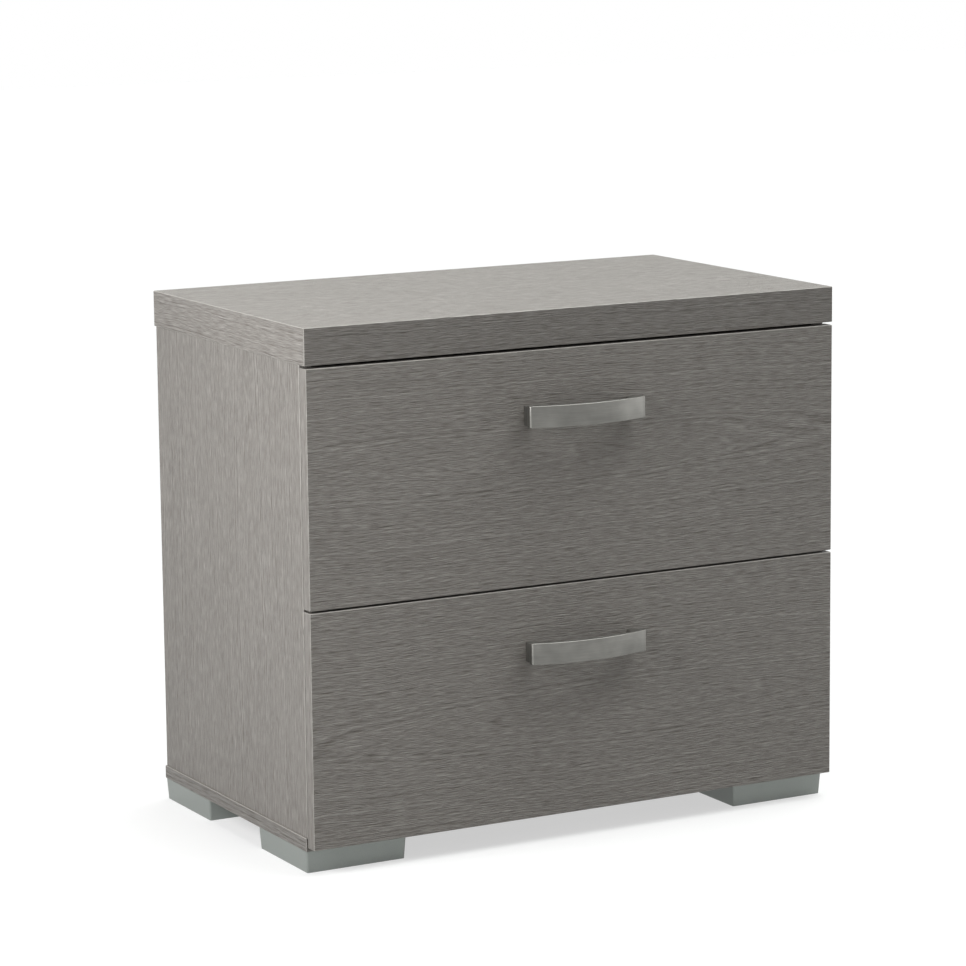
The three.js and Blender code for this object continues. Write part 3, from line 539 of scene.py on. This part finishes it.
def fitting_metal(name, tint, rough, grain_width):
    """Metal of the fittings: rolled and zinc plated steel, die-cast zinc or polished ball steel. It has a
    cool sheen, faintly clouded, with fine lines from front to rear. The lines are drawn coarser than real
    ones, so that they show."""
    line_stretch = 0.03
    cloud_size = 6 * grain_width
    material, tree = new_material(name)
    place = node(tree, "ShaderNodeTexCoord").outputs["Object"]
    rolled = node(tree, "ShaderNodeMapping", {"Vector": place, "Scale": (1, line_stretch, 1)})
    lines = node(tree, "ShaderNodeTexNoise", {"Vector": rolled, "Scale": 1 / grain_width})
    cloud = node(tree, "ShaderNodeTexVoronoi", {"Vector": place, "Scale": 1 / cloud_size})
    mixed = node(tree, "ShaderNodeMix", {"Factor": 0.3, "A": lines, "B": cloud}, data_type="FLOAT")
    shade = node(tree, "ShaderNodeMapRange", {"Value": mixed, "To Min": 0.88, "To Max": 1.1})
    plate = node(tree, "ShaderNodeVectorMath", {0: tint, "Scale": shade}, operation="SCALE")
    gloss = node(
        tree, "ShaderNodeMapRange", {"Value": mixed, "To Min": rough - 0.06, "To Max": rough + 0.08}
    )
    surface(tree, {"Metallic": 1, "Base Color": plate, "Roughness": gloss})
    return material


def screw_finish(context):
    """The one zinc finish that all screws share."""
    title = "Zinc plated screws"
    tint = context.scene.nightstand.colours.zinc
    return bpy.data.materials.get(title) or fitting_metal(title, tint, rough=0.3, grain_width=1 * MM)


def clear_polyurethane(context):
    """Cast soft polyurethane: milky clear, with a satin skin."""
    cloud_size = 2 * MM
    colours = context.scene.nightstand.colours
    material, tree = new_material("Clear polyurethane")
    place = node(tree, "ShaderNodeTexCoord").outputs["Object"]
    cloud = node(tree, "ShaderNodeTexNoise", {"Vector": place, "Scale": 1 / cloud_size})
    shade = node(tree, "ShaderNodeMapRange", {"Value": cloud, "To Min": 0.9, "To Max": 1})
    gum = node(tree, "ShaderNodeVectorMath", {0: colours.bumper, "Scale": shade}, operation="SCALE")
    gloss = node(tree, "ShaderNodeMapRange", {"Value": cloud, "To Min": 0.25, "To Max": 0.4})
    surface(tree, {"IOR": 1.5, "Transmission Weight": 0.6, "Base Color": gum, "Roughness": gloss})
    return material


def moulded_acetal(context):
    """Injection-moulded acetal: black, waxy and nearly matt, with a fine grain from the mould, which is
    drawn coarser than the real one, so that it shows."""
    mould_size = 0.6 * MM
    colours = context.scene.nightstand.colours
    material, tree = new_material("Moulded black acetal")
    place = node(tree, "ShaderNodeTexCoord").outputs["Object"]
    mould = node(tree, "ShaderNodeTexNoise", {"Vector": place, "Scale": 1 / mould_size})
    shade = node(tree, "ShaderNodeMapRange", {"Value": mould, "To Min": 0.8, "To Max": 1.2})
    resin = node(tree, "ShaderNodeVectorMath", {0: colours.lever, "Scale": shade}, operation="SCALE")
    gloss = node(tree, "ShaderNodeMapRange", {"Value": mould, "To Min": 0.38, "To Max": 0.52})
    surface(tree, {"IOR": 1.48, "Base Color": resin, "Roughness": gloss})
    return material


def studio_floor(context):
    """Seamless paper: white to the camera, with a light shadow, and duller to the object, so that it
    throws little light back."""
    colours = context.scene.nightstand.colours
    shadow_lift = context.scene.nightstand.stage.shadow_lift
    material, tree = new_material("Studio paper")
    seen = seen_share(tree)
    lighting, shown = (*colours.floor_bounce, 1), (*colours.floor, 1)
    paper = node(tree, "ShaderNodeMix", {"Factor": seen, "A": lighting, "B": shown}, data_type="RGBA")
    diffuse = node(tree, "ShaderNodeBsdfDiffuse", {"Color": paper})
    lift = node(tree, "ShaderNodeMath", {0: seen, 1: shadow_lift}, operation="MULTIPLY")
    glow = node(tree, "ShaderNodeEmission", {"Strength": lift})
    both = node(tree, "ShaderNodeAddShader", {0: diffuse, 1: glow})
    node(tree, "ShaderNodeOutputMaterial", {"Surface": both})
    return material


def dress(names, material):
    """Gives CAD nodes their finish."""
    for name in names:
        piece = NODES[name]
        piece.data.materials.clear()
        piece.data.materials.append(material)


def middle(name):
    """The middle of a CAD node's box."""
    low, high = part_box(name)
    return (low + high) / 2


def place_piece(name, mesh, material, body):
    """A finished piece at the origin, with its place in its mesh, on its body."""
    piece = bpy.data.objects.new(name, mesh)
    bpy.context.scene.collection.objects.link(piece)
    mesh.materials.clear()
    mesh.materials.append(material)
    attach(piece, body)
    return piece


def new_geometry_tree(name, inputs, output):
    """A Geometry Nodes tree with named inputs and one output, and the node that gives the inputs."""
    tree = bpy.data.node_groups.new(name, "GeometryNodeTree")
    for title, kind, default in inputs:
        socket = tree.interface.new_socket(name=title, in_out="INPUT", socket_type=kind)
        if default is not None:
            socket.default_value = default
    tree.interface.new_socket(name=output, in_out="OUTPUT", socket_type="NodeSocketGeometry")
    return tree, node(tree, "NodeGroupInput")


def end_geometry_tree(tree, given, instances):
    """Ends a tree with plain meshes in the finish that it was given."""
    real = node(tree, "GeometryNodeRealizeInstances", {0: instances})
    finished = node(
        tree, "GeometryNodeSetMaterial", {"Geometry": real, "Material": given.outputs["Finish"]}
    )
    node(tree, "NodeGroupOutput", {0: finished})


def screw_heads_tree():
    """Puts a domed head with a cross recess on each point, along the point's axis."""
    inputs = (
        ("Points", "NodeSocketGeometry", None),
        ("Head Diameter", "NodeSocketFloat", 8 * MM),
        ("Head Rise", "NodeSocketFloat", 2.4 * MM),
        ("Recess Share", "NodeSocketFloat", 0.56),
        ("Finish", "NodeSocketMaterial", None),
    )
    tree, given = new_geometry_tree("Screw heads", inputs, "Heads")
    diameter, rise = given.outputs["Head Diameter"], given.outputs["Head Rise"]
    radius = node(tree, "ShaderNodeMath", {0: diameter, 1: 2}, operation="DIVIDE")
    shoulder = node(tree, "ShaderNodeMath", {0: radius, 1: SHOULDER_SHARE}, operation="MULTIPLY")
    crown = node(tree, "ShaderNodeMath", {0: radius, 1: CROWN_SHARE}, operation="MULTIPLY")
    half_rise = node(tree, "ShaderNodeMath", {0: rise, 1: 2}, operation="DIVIDE")

    # The skirt and the dome are open rings, closed by a flat top and a base that faces down
    rings = []
    for below, above, lift in ((radius, shoulder, 0), (shoulder, crown, half_rise)):
        shape = {"Vertices": HEAD_STEPS, "Radius Bottom": below, "Radius Top": above, "Depth": half_rise}
        ring = node(tree, "GeometryNodeMeshCone", shape, fill_type="NONE")
        ring_place = node(tree, "ShaderNodeCombineXYZ", {"Z": lift})
        rings.append(node(tree, "GeometryNodeTransform", {"Geometry": ring, "Translation": ring_place}))
    top_place = node(tree, "ShaderNodeCombineXYZ", {"Z": rise})
    top = node(tree, "GeometryNodeMeshCircle", {"Vertices": HEAD_STEPS, "Radius": crown}, fill_type="NGON")
    top_raised = node(tree, "GeometryNodeTransform", {"Geometry": top, "Translation": top_place})
    base = node(
        tree, "GeometryNodeMeshCircle", {"Vertices": HEAD_STEPS, "Radius": radius}, fill_type="NGON"
    )
    base_down = node(tree, "GeometryNodeFlipFaces", {"Mesh": base})
    shell = node(tree, "GeometryNodeJoinGeometry")
    for part in (*rings, top_raised, base_down):
        tree.links.new(part.outputs[0], shell.inputs[0])
    closed = node(tree, "GeometryNodeMergeByDistance", {"Geometry": shell, "Distance": 0.01 * MM})

    # Two crossed bars cut the recess
    span = node(
        tree, "ShaderNodeMath", {0: diameter, 1: given.outputs["Recess Share"]}, operation="MULTIPLY"
    )
    slot = node(tree, "ShaderNodeMath", {0: span, 1: SLOT_SHARE}, operation="MULTIPLY")
    depth = node(tree, "ShaderNodeMath", {0: rise, 1: CUTTER_SHARE}, operation="MULTIPLY")
    recess = node(tree, "GeometryNodeMeshBoolean", {0: closed}, operation="DIFFERENCE", solver="EXACT")
    for wide, deep in ((span, slot), (slot, span)):
        size = node(tree, "ShaderNodeCombineXYZ", {"X": wide, "Y": deep, "Z": depth})
        bar = node(tree, "GeometryNodeMeshCube", {"Size": size})
        lifted = node(tree, "GeometryNodeTransform", {"Geometry": bar, "Translation": top_place})
        tree.links.new(lifted.outputs[0], recess.inputs[1])
    axis = node(tree, "GeometryNodeInputNamedAttribute", {"Name": "axis"}, data_type="FLOAT_VECTOR")
    turned = node(tree, "FunctionNodeAlignRotationToVector", {"Vector": axis}, axis="Z")
    heads = node(
        tree,
        "GeometryNodeInstanceOnPoints",
        {"Points": given.outputs["Points"], "Instance": recess, "Rotation": turned},
    )
    end_geometry_tree(tree, given, heads)
    return tree


def ball_rows_tree():
    """Puts rows of captive balls on the points, each row running along Y from its point."""
    inputs = (
        ("Points", "NodeSocketGeometry", None),
        ("Ball Diameter", "NodeSocketFloat", 4.4 * MM),
        ("Ball Pitch", "NodeSocketFloat", 9 * MM),
        ("Ball Count", "NodeSocketInt", 17),
        ("Finish", "NodeSocketMaterial", None),
    )
    tree, given = new_geometry_tree("Ball rows", inputs, "Balls")
    step = node(tree, "ShaderNodeCombineXYZ", {"Y": given.outputs["Ball Pitch"]})
    row_inputs = {"Count": given.outputs["Ball Count"], "Offset": step}
    row = node(tree, "GeometryNodeMeshLine", row_inputs, mode="OFFSET")
    rows = node(
        tree, "GeometryNodeInstanceOnPoints", {"Points": given.outputs["Points"], "Instance": row}
    )
    places = node(tree, "GeometryNodeRealizeInstances", {0: rows})
    radius = node(tree, "ShaderNodeMath", {0: given.outputs["Ball Diameter"], 1: 2}, operation="DIVIDE")
    ball = node(tree, "GeometryNodeMeshUVSphere", {"Segments": 12, "Rings": 8, "Radius": radius})
    smooth = node(tree, "GeometryNodeSetShadeSmooth", {0: ball, "Shade Smooth": True})
    balls = node(tree, "GeometryNodeInstanceOnPoints", {"Points": places, "Instance": smooth})
    end_geometry_tree(tree, given, balls)
    return tree


def repeat_on_points(name, tree, points, inputs, body):
    """Runs a Geometry Nodes tree on (place, axis) points and keeps its result as one plain mesh."""
    mesh = bpy.data.meshes.new(name)
    mesh.from_pydata([place for place, _ in points], [], [])
    axes = mesh.attributes.new("axis", "FLOAT_VECTOR", "POINT")
    axes.data.foreach_set("vector", [share for _, axis in points for share in axis])
    piece = bpy.data.objects.new(name, mesh)
    bpy.context.scene.collection.objects.link(piece)
    modifier = piece.modifiers.new(tree.name, "NODES")
    modifier.node_group = tree
    for socket in tree.interface.items_tree:
        if socket.name in inputs:
            modifier[socket.identifier] = inputs[socket.name]
    evaluated = piece.evaluated_get(bpy.context.evaluated_depsgraph_get())
    plain = bpy.data.meshes.new_from_object(evaluated)
    piece.modifiers.clear()
    piece.data = plain
    bpy.data.meshes.remove(mesh)
    if not plain.polygons:
        raise RuntimeError(f"{name} has no faces")
    if "axis" in plain.attributes:
        plain.attributes.remove(plain.attributes["axis"])

    # The forms that a tree starts from leave an empty slot before the finish
    plain.materials.clear()
    plain.materials.append(inputs["Finish"])
    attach(piece, body)


class NIGHTSTAND_OT_boards(bpy.types.Operator):
    """Grey oak on the top, the side panels, the bottom and the drawer fronts"""

    bl_idname = "nightstand.boards"
    bl_label = "Boards"

    def execute(self, context):
        # Node, grain of its faces, grain of its edging, offset of the ring figure, axis of the faces with
        # the darker edging, and whether the rear edge is bare
        boards = (
            ("top_slab", "X", "Y", (0.12, 0.05, -0.35), "Y", False),
            ("bottom_panel", "X", "Y", (-0.2, 0.1, 0), "X", True),
            ("side_panel_left", "Z", "Y", (0.31, 0.03, -0.25), None, True),
            ("side_panel_right", "Z", "Y", (-0.31, -0.05, -0.3), None, True),
            ("upper_drawer_front", "X", "Z", (0.14, 0.163, -0.43), None, False),
            ("lower_drawer_front", "X", "Z", (-0.1, 0.163, -0.14), None, False),
        )
        for name, *rest in boards:
            title = "Grey oak " + name.replace("_", " ")
            dress([name], grey_oak_laminate(context, title, *rest))
        return {"FINISHED"}


class NIGHTSTAND_OT_drawer_boxes(bpy.types.Operator):
    """Melamine sides and backs, hardboard floors and back panel"""

    bl_idname = "nightstand.drawer_boxes"
    bl_label = "Drawer boxes and back panel"

    def execute(self, context):
        boxes = [f"{level}_drawer_side_{side}" for level in DRAWERS for side in SIDES]
        boxes += [f"{level}_drawer_back" for level in DRAWERS]
        dress(boxes, pearl_melamine(context))
        floors = [f"{level}_drawer_floor" for level in DRAWERS]
        dress(floors, lacquered_hardboard(context, "Lacquered hardboard floor", "Z", 1))
        dress(["back_panel"], lacquered_hardboard(context, "Lacquered hardboard back", "Y", -1))
        return {"FINISHED"}


class NIGHTSTAND_OT_feet(bpy.types.Operator):
    """Silver feet and the screws in their bosses"""

    bl_idname = "nightstand.feet"
    bl_label = "Feet"

    def execute(self, context):
        sizes = context.scene.nightstand.sizes
        dress([f"foot_{foot}" for foot in FEET], silver_painted_abs(context))
        half = sizes.boss_spread / 2
        points = []
        for foot in FEET:
            centre = middle(f"foot_{foot}")
            for x in (-half, half):
                for y in (-half, half):
                    points.append(((centre.x + x, centre.y + y, sizes.boss_end), (0, 0, -1)))
        inputs = {
            "Head Diameter": sizes.foot_screw,
            "Head Rise": sizes.foot_screw_rise,
            "Finish": screw_finish(context),
        }
        tree = screw_heads_tree()
        repeat_on_points("foot_screws", tree, points, inputs, "carcass")
        return {"FINISHED"}


def bar_outline(half, front, bow, thickness, corner):
    """The handle's bar from above: a flat strip bowed to the front, with round front corners. The outline
    runs along the outer arc and comes back along the inner one."""
    arc_half = half - corner
    radius = (arc_half**2 + bow**2) / (2 * bow)
    centre_y = front + radius
    inner_radius = radius - thickness
    left_corner = []
    for step in range(CORNER_STEPS):
        turn = math.radians(90 * step / CORNER_STEPS)
        x = -half + corner * (1 - math.cos(turn))
        left_corner.append((x, front + bow + corner * (1 - math.sin(turn))))
    right_corner = [(-x, y) for x, y in reversed(left_corner)]
    outer_sweep, inner_sweep = math.asin(arc_half / radius), math.asin(half / inner_radius)
    outer_arc, inner_arc = [], []
    for step in range(BOW_STEPS + 1):
        share = 2 * step / BOW_STEPS - 1
        for arc, size, sweep in ((outer_arc, radius, outer_sweep), (inner_arc, inner_radius, -inner_sweep)):
            turn = sweep * share
            arc.append((size * math.sin(turn), centre_y - size * math.cos(turn)))
    return left_corner + outer_arc + right_corner + inner_arc


def rounded_prism(outline, low_z, high_z, edge):
    """An upright solid over an outline, with its sharp edges rounded."""
    form = bmesh.new()
    face = form.faces.new([form.verts.new((x, y, low_z)) for x, y in outline])
    raised = bmesh.ops.extrude_face_region(form, geom=[face])["geom"]
    lifted = [item for item in raised if isinstance(item, bmesh.types.BMVert)]
    bmesh.ops.translate(form, vec=Vector((0, 0, high_z - low_z)), verts=lifted)
    bmesh.ops.recalc_face_normals(form, faces=form.faces)
    sharp = [item for item in form.edges if item.calc_face_angle() > ROUNDED_ANGLE]
    bmesh.ops.bevel(
        form,
        geom=sharp,
        offset=edge,
        segments=ROUNDING_STEPS,
        profile=0.5,
        affect="EDGES",
        clamp_overlap=True,
    )
    mesh = bpy.data.meshes.new("prism")
    form.to_mesh(mesh)
    form.free()
    return mesh


def joined(first, others):
    """One closed mesh from a mesh and the meshes that cross it."""
    trial = bpy.data.objects.new("joined", first)
    bpy.context.scene.collection.objects.link(trial)
    helpers = []
    for other in others:
        helper = bpy.data.objects.new("helper", other)
        bpy.context.scene.collection.objects.link(helper)
        union = trial.modifiers.new("union", "BOOLEAN")
        union.operation, union.solver, union.object = "UNION", "EXACT", helper
        helpers.append(helper)
    mesh = bpy.data.meshes.new_from_object(trial.evaluated_get(bpy.context.evaluated_depsgraph_get()))
    for spare in (trial, *helpers):
        bpy.data.meshes.remove(spare.data)
    return mesh


class NIGHTSTAND_OT_handles(bpy.types.Operator):
    """Bowed bar handles on two legs, with rounded edges, and their screws"""

    bl_idname = "nightstand.handles"
    bl_label = "Handles"

    def execute(self, context):
        sizes = context.scene.nightstand.sizes
        finish = brushed_nickel(context)
        edge, bow, thickness = sizes.handle_edge, sizes.handle_bow, sizes.handle_bar
        for level in DRAWERS:
            low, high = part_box(f"{level}_handle")
            half = (high.x - low.x) / 2 + sizes.handle_overhang
            outline = bar_outline(half, low.y, bow, thickness, sizes.handle_corner)
            bar = rounded_prism(outline, low.z, high.z, edge)

            # The legs start inside the bar and end on the drawer front, and are a little lower than the bar
            legs = []
            leg_front = low.y + bow + thickness / 2
            leg_low, leg_high = low.z + edge / 2, high.z - sizes.leg_drop
            for sign in (-1, 1):
                outer = sign * (half - sizes.leg_inset)
                inner = outer - sign * sizes.leg_width
                near, far = sorted((outer, inner))
                corners = [(near, high.y), (near, leg_front), (far, leg_front), (far, high.y)]
                legs.append(rounded_prism(corners, leg_low, leg_high, edge / 2))
            mesh = joined(bar, legs)
            mesh.name = f"{level}_bowed_handle"
            mesh.shade_smooth()
            mesh.set_sharp_from_angle(angle=SHARP_ANGLE)
            piece = place_piece(mesh.name, mesh, finish, f"{level}_drawer")
            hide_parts(f"{level}_handle")
        dress(
            [f"{level}_handle_screw_{side}" for level in DRAWERS for side in SIDES],
            screw_finish(context),
        )
        return {"FINISHED"}


class NIGHTSTAND_OT_slides(bpy.types.Operator):
    """Zinc finish on the slides, screws in their webs and balls in their cages"""

    bl_idname = "nightstand.slides"
    bl_label = "Drawer slides"

    def execute(self, context):
        self.dress_slides(context)
        sizes = context.scene.nightstand.sizes
        heads = screw_heads_tree()
        head_inputs = {
            "Head Diameter": sizes.slide_screw,
            "Head Rise": sizes.slide_screw_rise,
            "Finish": screw_finish(context),
        }
        cabinet_points = []
        for level in DRAWERS:
            drawer_points = []
            for side in SIDES:
                sign = SIDE_SIGNS[side]
                low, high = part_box(f"{level}_slide_outer_{side}")
                wall_x = high.x if sign > 0 else low.x
                inner_low, inner_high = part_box(f"{level}_slide_inner_{side}")
                box_x = inner_low.x if sign > 0 else inner_high.x
                centre_z = (low.z + high.z) / 2
                for share in SLIDE_SCREW_SHARES:
                    y = low.y + share * (high.y - low.y)
                    cabinet_points.append(((wall_x, y, centre_z), (-sign, 0, 0)))
                    drawer_points.append(((box_x, y, centre_z), (sign, 0, 0)))
            name, body = f"{level}_drawer_slide_screws", f"{level}_drawer"
            repeat_on_points(name, heads, drawer_points, head_inputs, body)
        name = "cabinet_slide_screws"
        repeat_on_points(name, heads, cabinet_points, head_inputs, "carcass")
        self.make_balls(context)
        return {"FINISHED"}

    def dress_slides(self, context):
        """Finishes of the members, the cages and the catch levers"""
        colours = context.scene.nightstand.colours
        members = fitting_metal("Bright zinc slide", colours.zinc, rough=0.34, grain_width=1.5 * MM)
        cages = fitting_metal("Dull zinc cage", colours.cam, rough=0.45, grain_width=1.5 * MM)
        pairs = [(level, side) for level in DRAWERS for side in SIDES]
        for level, side in pairs:
            dress([f"{level}_slide_{kind}_{side}" for kind in ("outer", "middle", "inner")], members)
            dress([f"{level}_slide_{kind}_cage_{side}" for kind in ("outer", "inner")], cages)
        dress([f"{level}_slide_lever_{side}" for level, side in pairs], moulded_acetal(context))

    def make_balls(self, context):
        """Two rows of balls in each cage, over and under the slide's middle"""
        colours = context.scene.nightstand.colours
        sizes = context.scene.nightstand.sizes
        finish = fitting_metal("Ball steel", colours.ball, rough=0.14, grain_width=4 * MM)
        rows = ball_rows_tree()
        kinds = (
            ("outer", sizes.outer_ball, sizes.outer_ball_offset, sizes.outer_ball_rise),
            ("inner", sizes.inner_ball, sizes.inner_ball_offset, sizes.inner_ball_rise),
        )
        for level in DRAWERS:
            for kind, diameter, offset, rise in kinds:
                starts = []
                for side in SIDES:
                    sign = SIDE_SIGNS[side]
                    low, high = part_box(f"{level}_slide_outer_{side}")
                    wall_x = high.x if sign > 0 else low.x
                    centre_z = (low.z + high.z) / 2
                    cage_low, cage_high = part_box(f"{level}_slide_{kind}_cage_{side}")
                    for half in (-1, 1):
                        start_y = cage_low.y + sizes.cage_end
                        start = (wall_x - sign * offset, start_y, centre_z + half * rise)
                        starts.append((start, (0, 1, 0)))
                run = cage_high.y - cage_low.y - 2 * sizes.cage_end
                inputs = {
                    "Ball Diameter": diameter,
                    "Ball Pitch": sizes.ball_pitch,
                    "Ball Count": round(run / sizes.ball_pitch) + 1,
                    "Finish": finish,
                }
                name, body = f"{level}_{kind}_balls", f"{level}_{kind}_cages"
                repeat_on_points(name, rows, starts, inputs, body)


class NIGHTSTAND_OT_bumpers(bpy.types.Operator):
    """Soft stops behind the drawer fronts"""

    bl_idname = "nightstand.bumpers"
    bl_label = "Bumpers"

    def execute(self, context):
        names = [f"{level}_bumper_{side}" for level in DRAWERS for side in SIDES]
        dress(names, clear_polyurethane(context))
        return {"FINISHED"}


class NIGHTSTAND_OT_cams(bpy.types.Operator):
    """Cam fittings inside the carcass and the drawer boxes, and the screws of the box backs"""

    bl_idname = "nightstand.cams"
    bl_label = "Cam fittings and box screws"

    def execute(self, context):
        colours = context.scene.nightstand.colours
        sizes = context.scene.nightstand.sizes
        heads = screw_heads_tree()
        cams = {
            "Head Diameter": sizes.cam_width,
            "Head Rise": sizes.cam_rise,
            "Recess Share": 0.5,
            "Finish": fitting_metal("Die-cast zinc cam", colours.cam, rough=0.42, grain_width=2 * MM),
        }
        screws = {
            "Head Diameter": sizes.box_screw,
            "Head Rise": sizes.cam_rise,
            "Finish": screw_finish(context),
        }
        carcass_points = []
        for side in SIDES:
            sign = SIDE_SIGNS[side]
            low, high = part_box(f"side_panel_{side}")
            face_x = low.x if sign > 0 else high.x
            for share in CARCASS_CAM_SHARES:
                y = low.y + share * (high.y - low.y)
                for z in (low.z + sizes.cam_inset, high.z - sizes.cam_inset):
                    carcass_points.append(((face_x, y, z), (-sign, 0, 0)))
        repeat_on_points("carcass_cams", heads, carcass_points, cams, "carcass")
        for level in DRAWERS:
            cam_points, screw_points = [], []
            back_y = middle(f"{level}_drawer_back").y
            for side in SIDES:
                sign = SIDE_SIGNS[side]
                low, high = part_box(f"{level}_drawer_side_{side}")
                inner_x, outer_x = (low.x, high.x) if sign > 0 else (high.x, low.x)
                for share in BOX_SCREW_SHARES:
                    z = low.z + share * (high.z - low.z)
                    cam_points.append(((inner_x, low.y + sizes.cam_inset, z), (-sign, 0, 0)))
                    screw_points.append(((outer_x, back_y, z), (sign, 0, 0)))
            body = f"{level}_drawer"
            repeat_on_points(f"{body}_cams", heads, cam_points, cams, body)
            repeat_on_points(f"{body}_box_screws", heads, screw_points, screws, body)
        return {"FINISHED"}


class NIGHTSTAND_OT_stage(bpy.types.Operator):
    """Floor, background, lamps and camera"""

    bl_idname = "nightstand.stage"
    bl_label = "Stage"

    def execute(self, context):
        scene = context.scene
        settings = scene.nightstand.stage
        self.make_floor(context)
        self.make_world(scene, settings)
        self.make_lamps(scene, settings)
        self.make_camera(scene, settings)
        scene.view_settings.view_transform = "Standard"
        return {"FINISHED"}

    def make_floor(self, context):
        """A wide level sheet just under the feet"""
        mesh = bpy.data.meshes.new("studio_floor")
        signs = ((-1, -1), (1, -1), (1, 1), (-1, 1))
        corners = [(x * FLOOR_HALF, y * FLOOR_HALF, -FLOOR_DROP) for x, y in signs]
        mesh.from_pydata(corners, [], [(0, 1, 2, 3)])
        mesh.materials.append(studio_floor(context))
        floor = bpy.data.objects.new("studio_floor", mesh)
        context.scene.collection.objects.link(floor)

    def make_world(self, scene, settings):
        """A background that is white to the camera and dimmer to the object"""
        world = bpy.data.worlds.new("White studio")
        scene.world = world
        world.use_nodes = True
        tree = world.node_tree
        tree.nodes.clear()
        seen = seen_share(tree)
        light = node(tree, "ShaderNodeBackground", {"Color": (1, 1, 1, 1), "Strength": settings.sky})
        white = node(tree, "ShaderNodeBackground", {"Color": (1, 1, 1, 1), "Strength": 1})
        both = node(tree, "ShaderNodeMixShader", {0: seen, 1: light, 2: white})
        node(tree, "ShaderNodeOutputWorld", {"Surface": both})

    def make_lamps(self, scene, settings):
        """Three area lamps and a broad even light from above"""
        for name, (place, (wide, high)) in AREA_LAMPS.items():
            data = bpy.data.lights.new(name, "AREA")
            data.energy = getattr(settings, name)
            data.shape = "RECTANGLE"
            data.size, data.size_y = wide, high
            self.aim(scene, data, Vector(place))
        data = bpy.data.lights.new("overhead", "SUN")
        data.energy = settings.overhead
        data.angle = OVERHEAD_SPREAD
        data.color = OVERHEAD_TINT
        self.aim(scene, data, OVERHEAD_PLACE)

    def aim(self, scene, data, place):
        """A lamp at a place, turned to the object"""
        lamp = bpy.data.objects.new(data.name, data)
        lamp.location = place
        lamp.rotation_mode = "QUATERNION"
        lamp.rotation_quaternion = (LAMP_TARGET - place).to_track_quat("-Z", "Y")
        lamp.visible_camera = False
        scene.collection.objects.link(lamp)

    def make_camera(self, scene, settings):
        """The camera at the photograph's viewing angle"""
        turn, rise, roll = settings.azimuth, settings.elevation, settings.roll
        back = Vector(
            (math.sin(turn) * math.cos(rise), -math.cos(turn) * math.cos(rise), math.sin(rise))
        )
        level = Vector((math.cos(turn), math.sin(turn), 0))
        upright = back.cross(level)
        right = level * math.cos(roll) + upright * math.sin(roll)
        up = upright * math.cos(roll) - level * math.sin(roll)
        place = Vector(settings.target) + back * settings.distance
        data = bpy.data.cameras.new("camera")
        data.lens = settings.lens
        data.sensor_width = SENSOR_WIDTH
        data.shift_x, data.shift_y = settings.shift
        data.clip_end = VIEW_DEPTH
        camera = bpy.data.objects.new("camera", data)
        scene.collection.objects.link(camera)
        camera.matrix_world = Matrix.Translation(place) @ Matrix((right, up, back)).transposed().to_4x4()
        scene.camera = camera


class NIGHTSTAND_PT_settings(bpy.types.Panel):
    """Settings and steps of the nightstand"""

    bl_idname = "NIGHTSTAND_PT_settings"
    bl_label = "Nightstand"
    bl_space_type = "VIEW_3D"
    bl_region_type = "UI"
    bl_category = "Nightstand"

    def draw(self, context):
        settings = context.scene.nightstand
        for group in (settings.colours, settings.sizes, settings.stage):
            box = self.layout.box()
            for name in group.__annotations__:
                box.prop(group, name)
        for step in STEPS:
            self.layout.operator(step.bl_idname)


STEPS = (
    NIGHTSTAND_OT_boards,
    NIGHTSTAND_OT_drawer_boxes,
    NIGHTSTAND_OT_feet,
    NIGHTSTAND_OT_handles,
    NIGHTSTAND_OT_slides,
    NIGHTSTAND_OT_bumpers,
    NIGHTSTAND_OT_cams,
    NIGHTSTAND_OT_stage,
)
CLASSES = (
    NightstandColours,
    NightstandSizes,
    NightstandStage,
    NightstandSettings,
    *STEPS,
    NIGHTSTAND_PT_settings,
)


def register():
    for item in CLASSES:
        bpy.utils.register_class(item)
    bpy.types.Scene.nightstand = bpy.props.PointerProperty(type=NightstandSettings)


def unregister():
    del bpy.types.Scene.nightstand
    for item in reversed(CLASSES):
        bpy.utils.unregister_class(item)


def main():
    """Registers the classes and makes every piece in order."""
    register()
    bpy.ops.nightstand.boards()
    bpy.ops.nightstand.drawer_boxes()
    bpy.ops.nightstand.feet()
    bpy.ops.nightstand.handles()
    bpy.ops.nightstand.slides()
    bpy.ops.nightstand.bumpers()
    bpy.ops.nightstand.cams()
    bpy.ops.nightstand.stage()


if __name__ == "__main__":
    main()
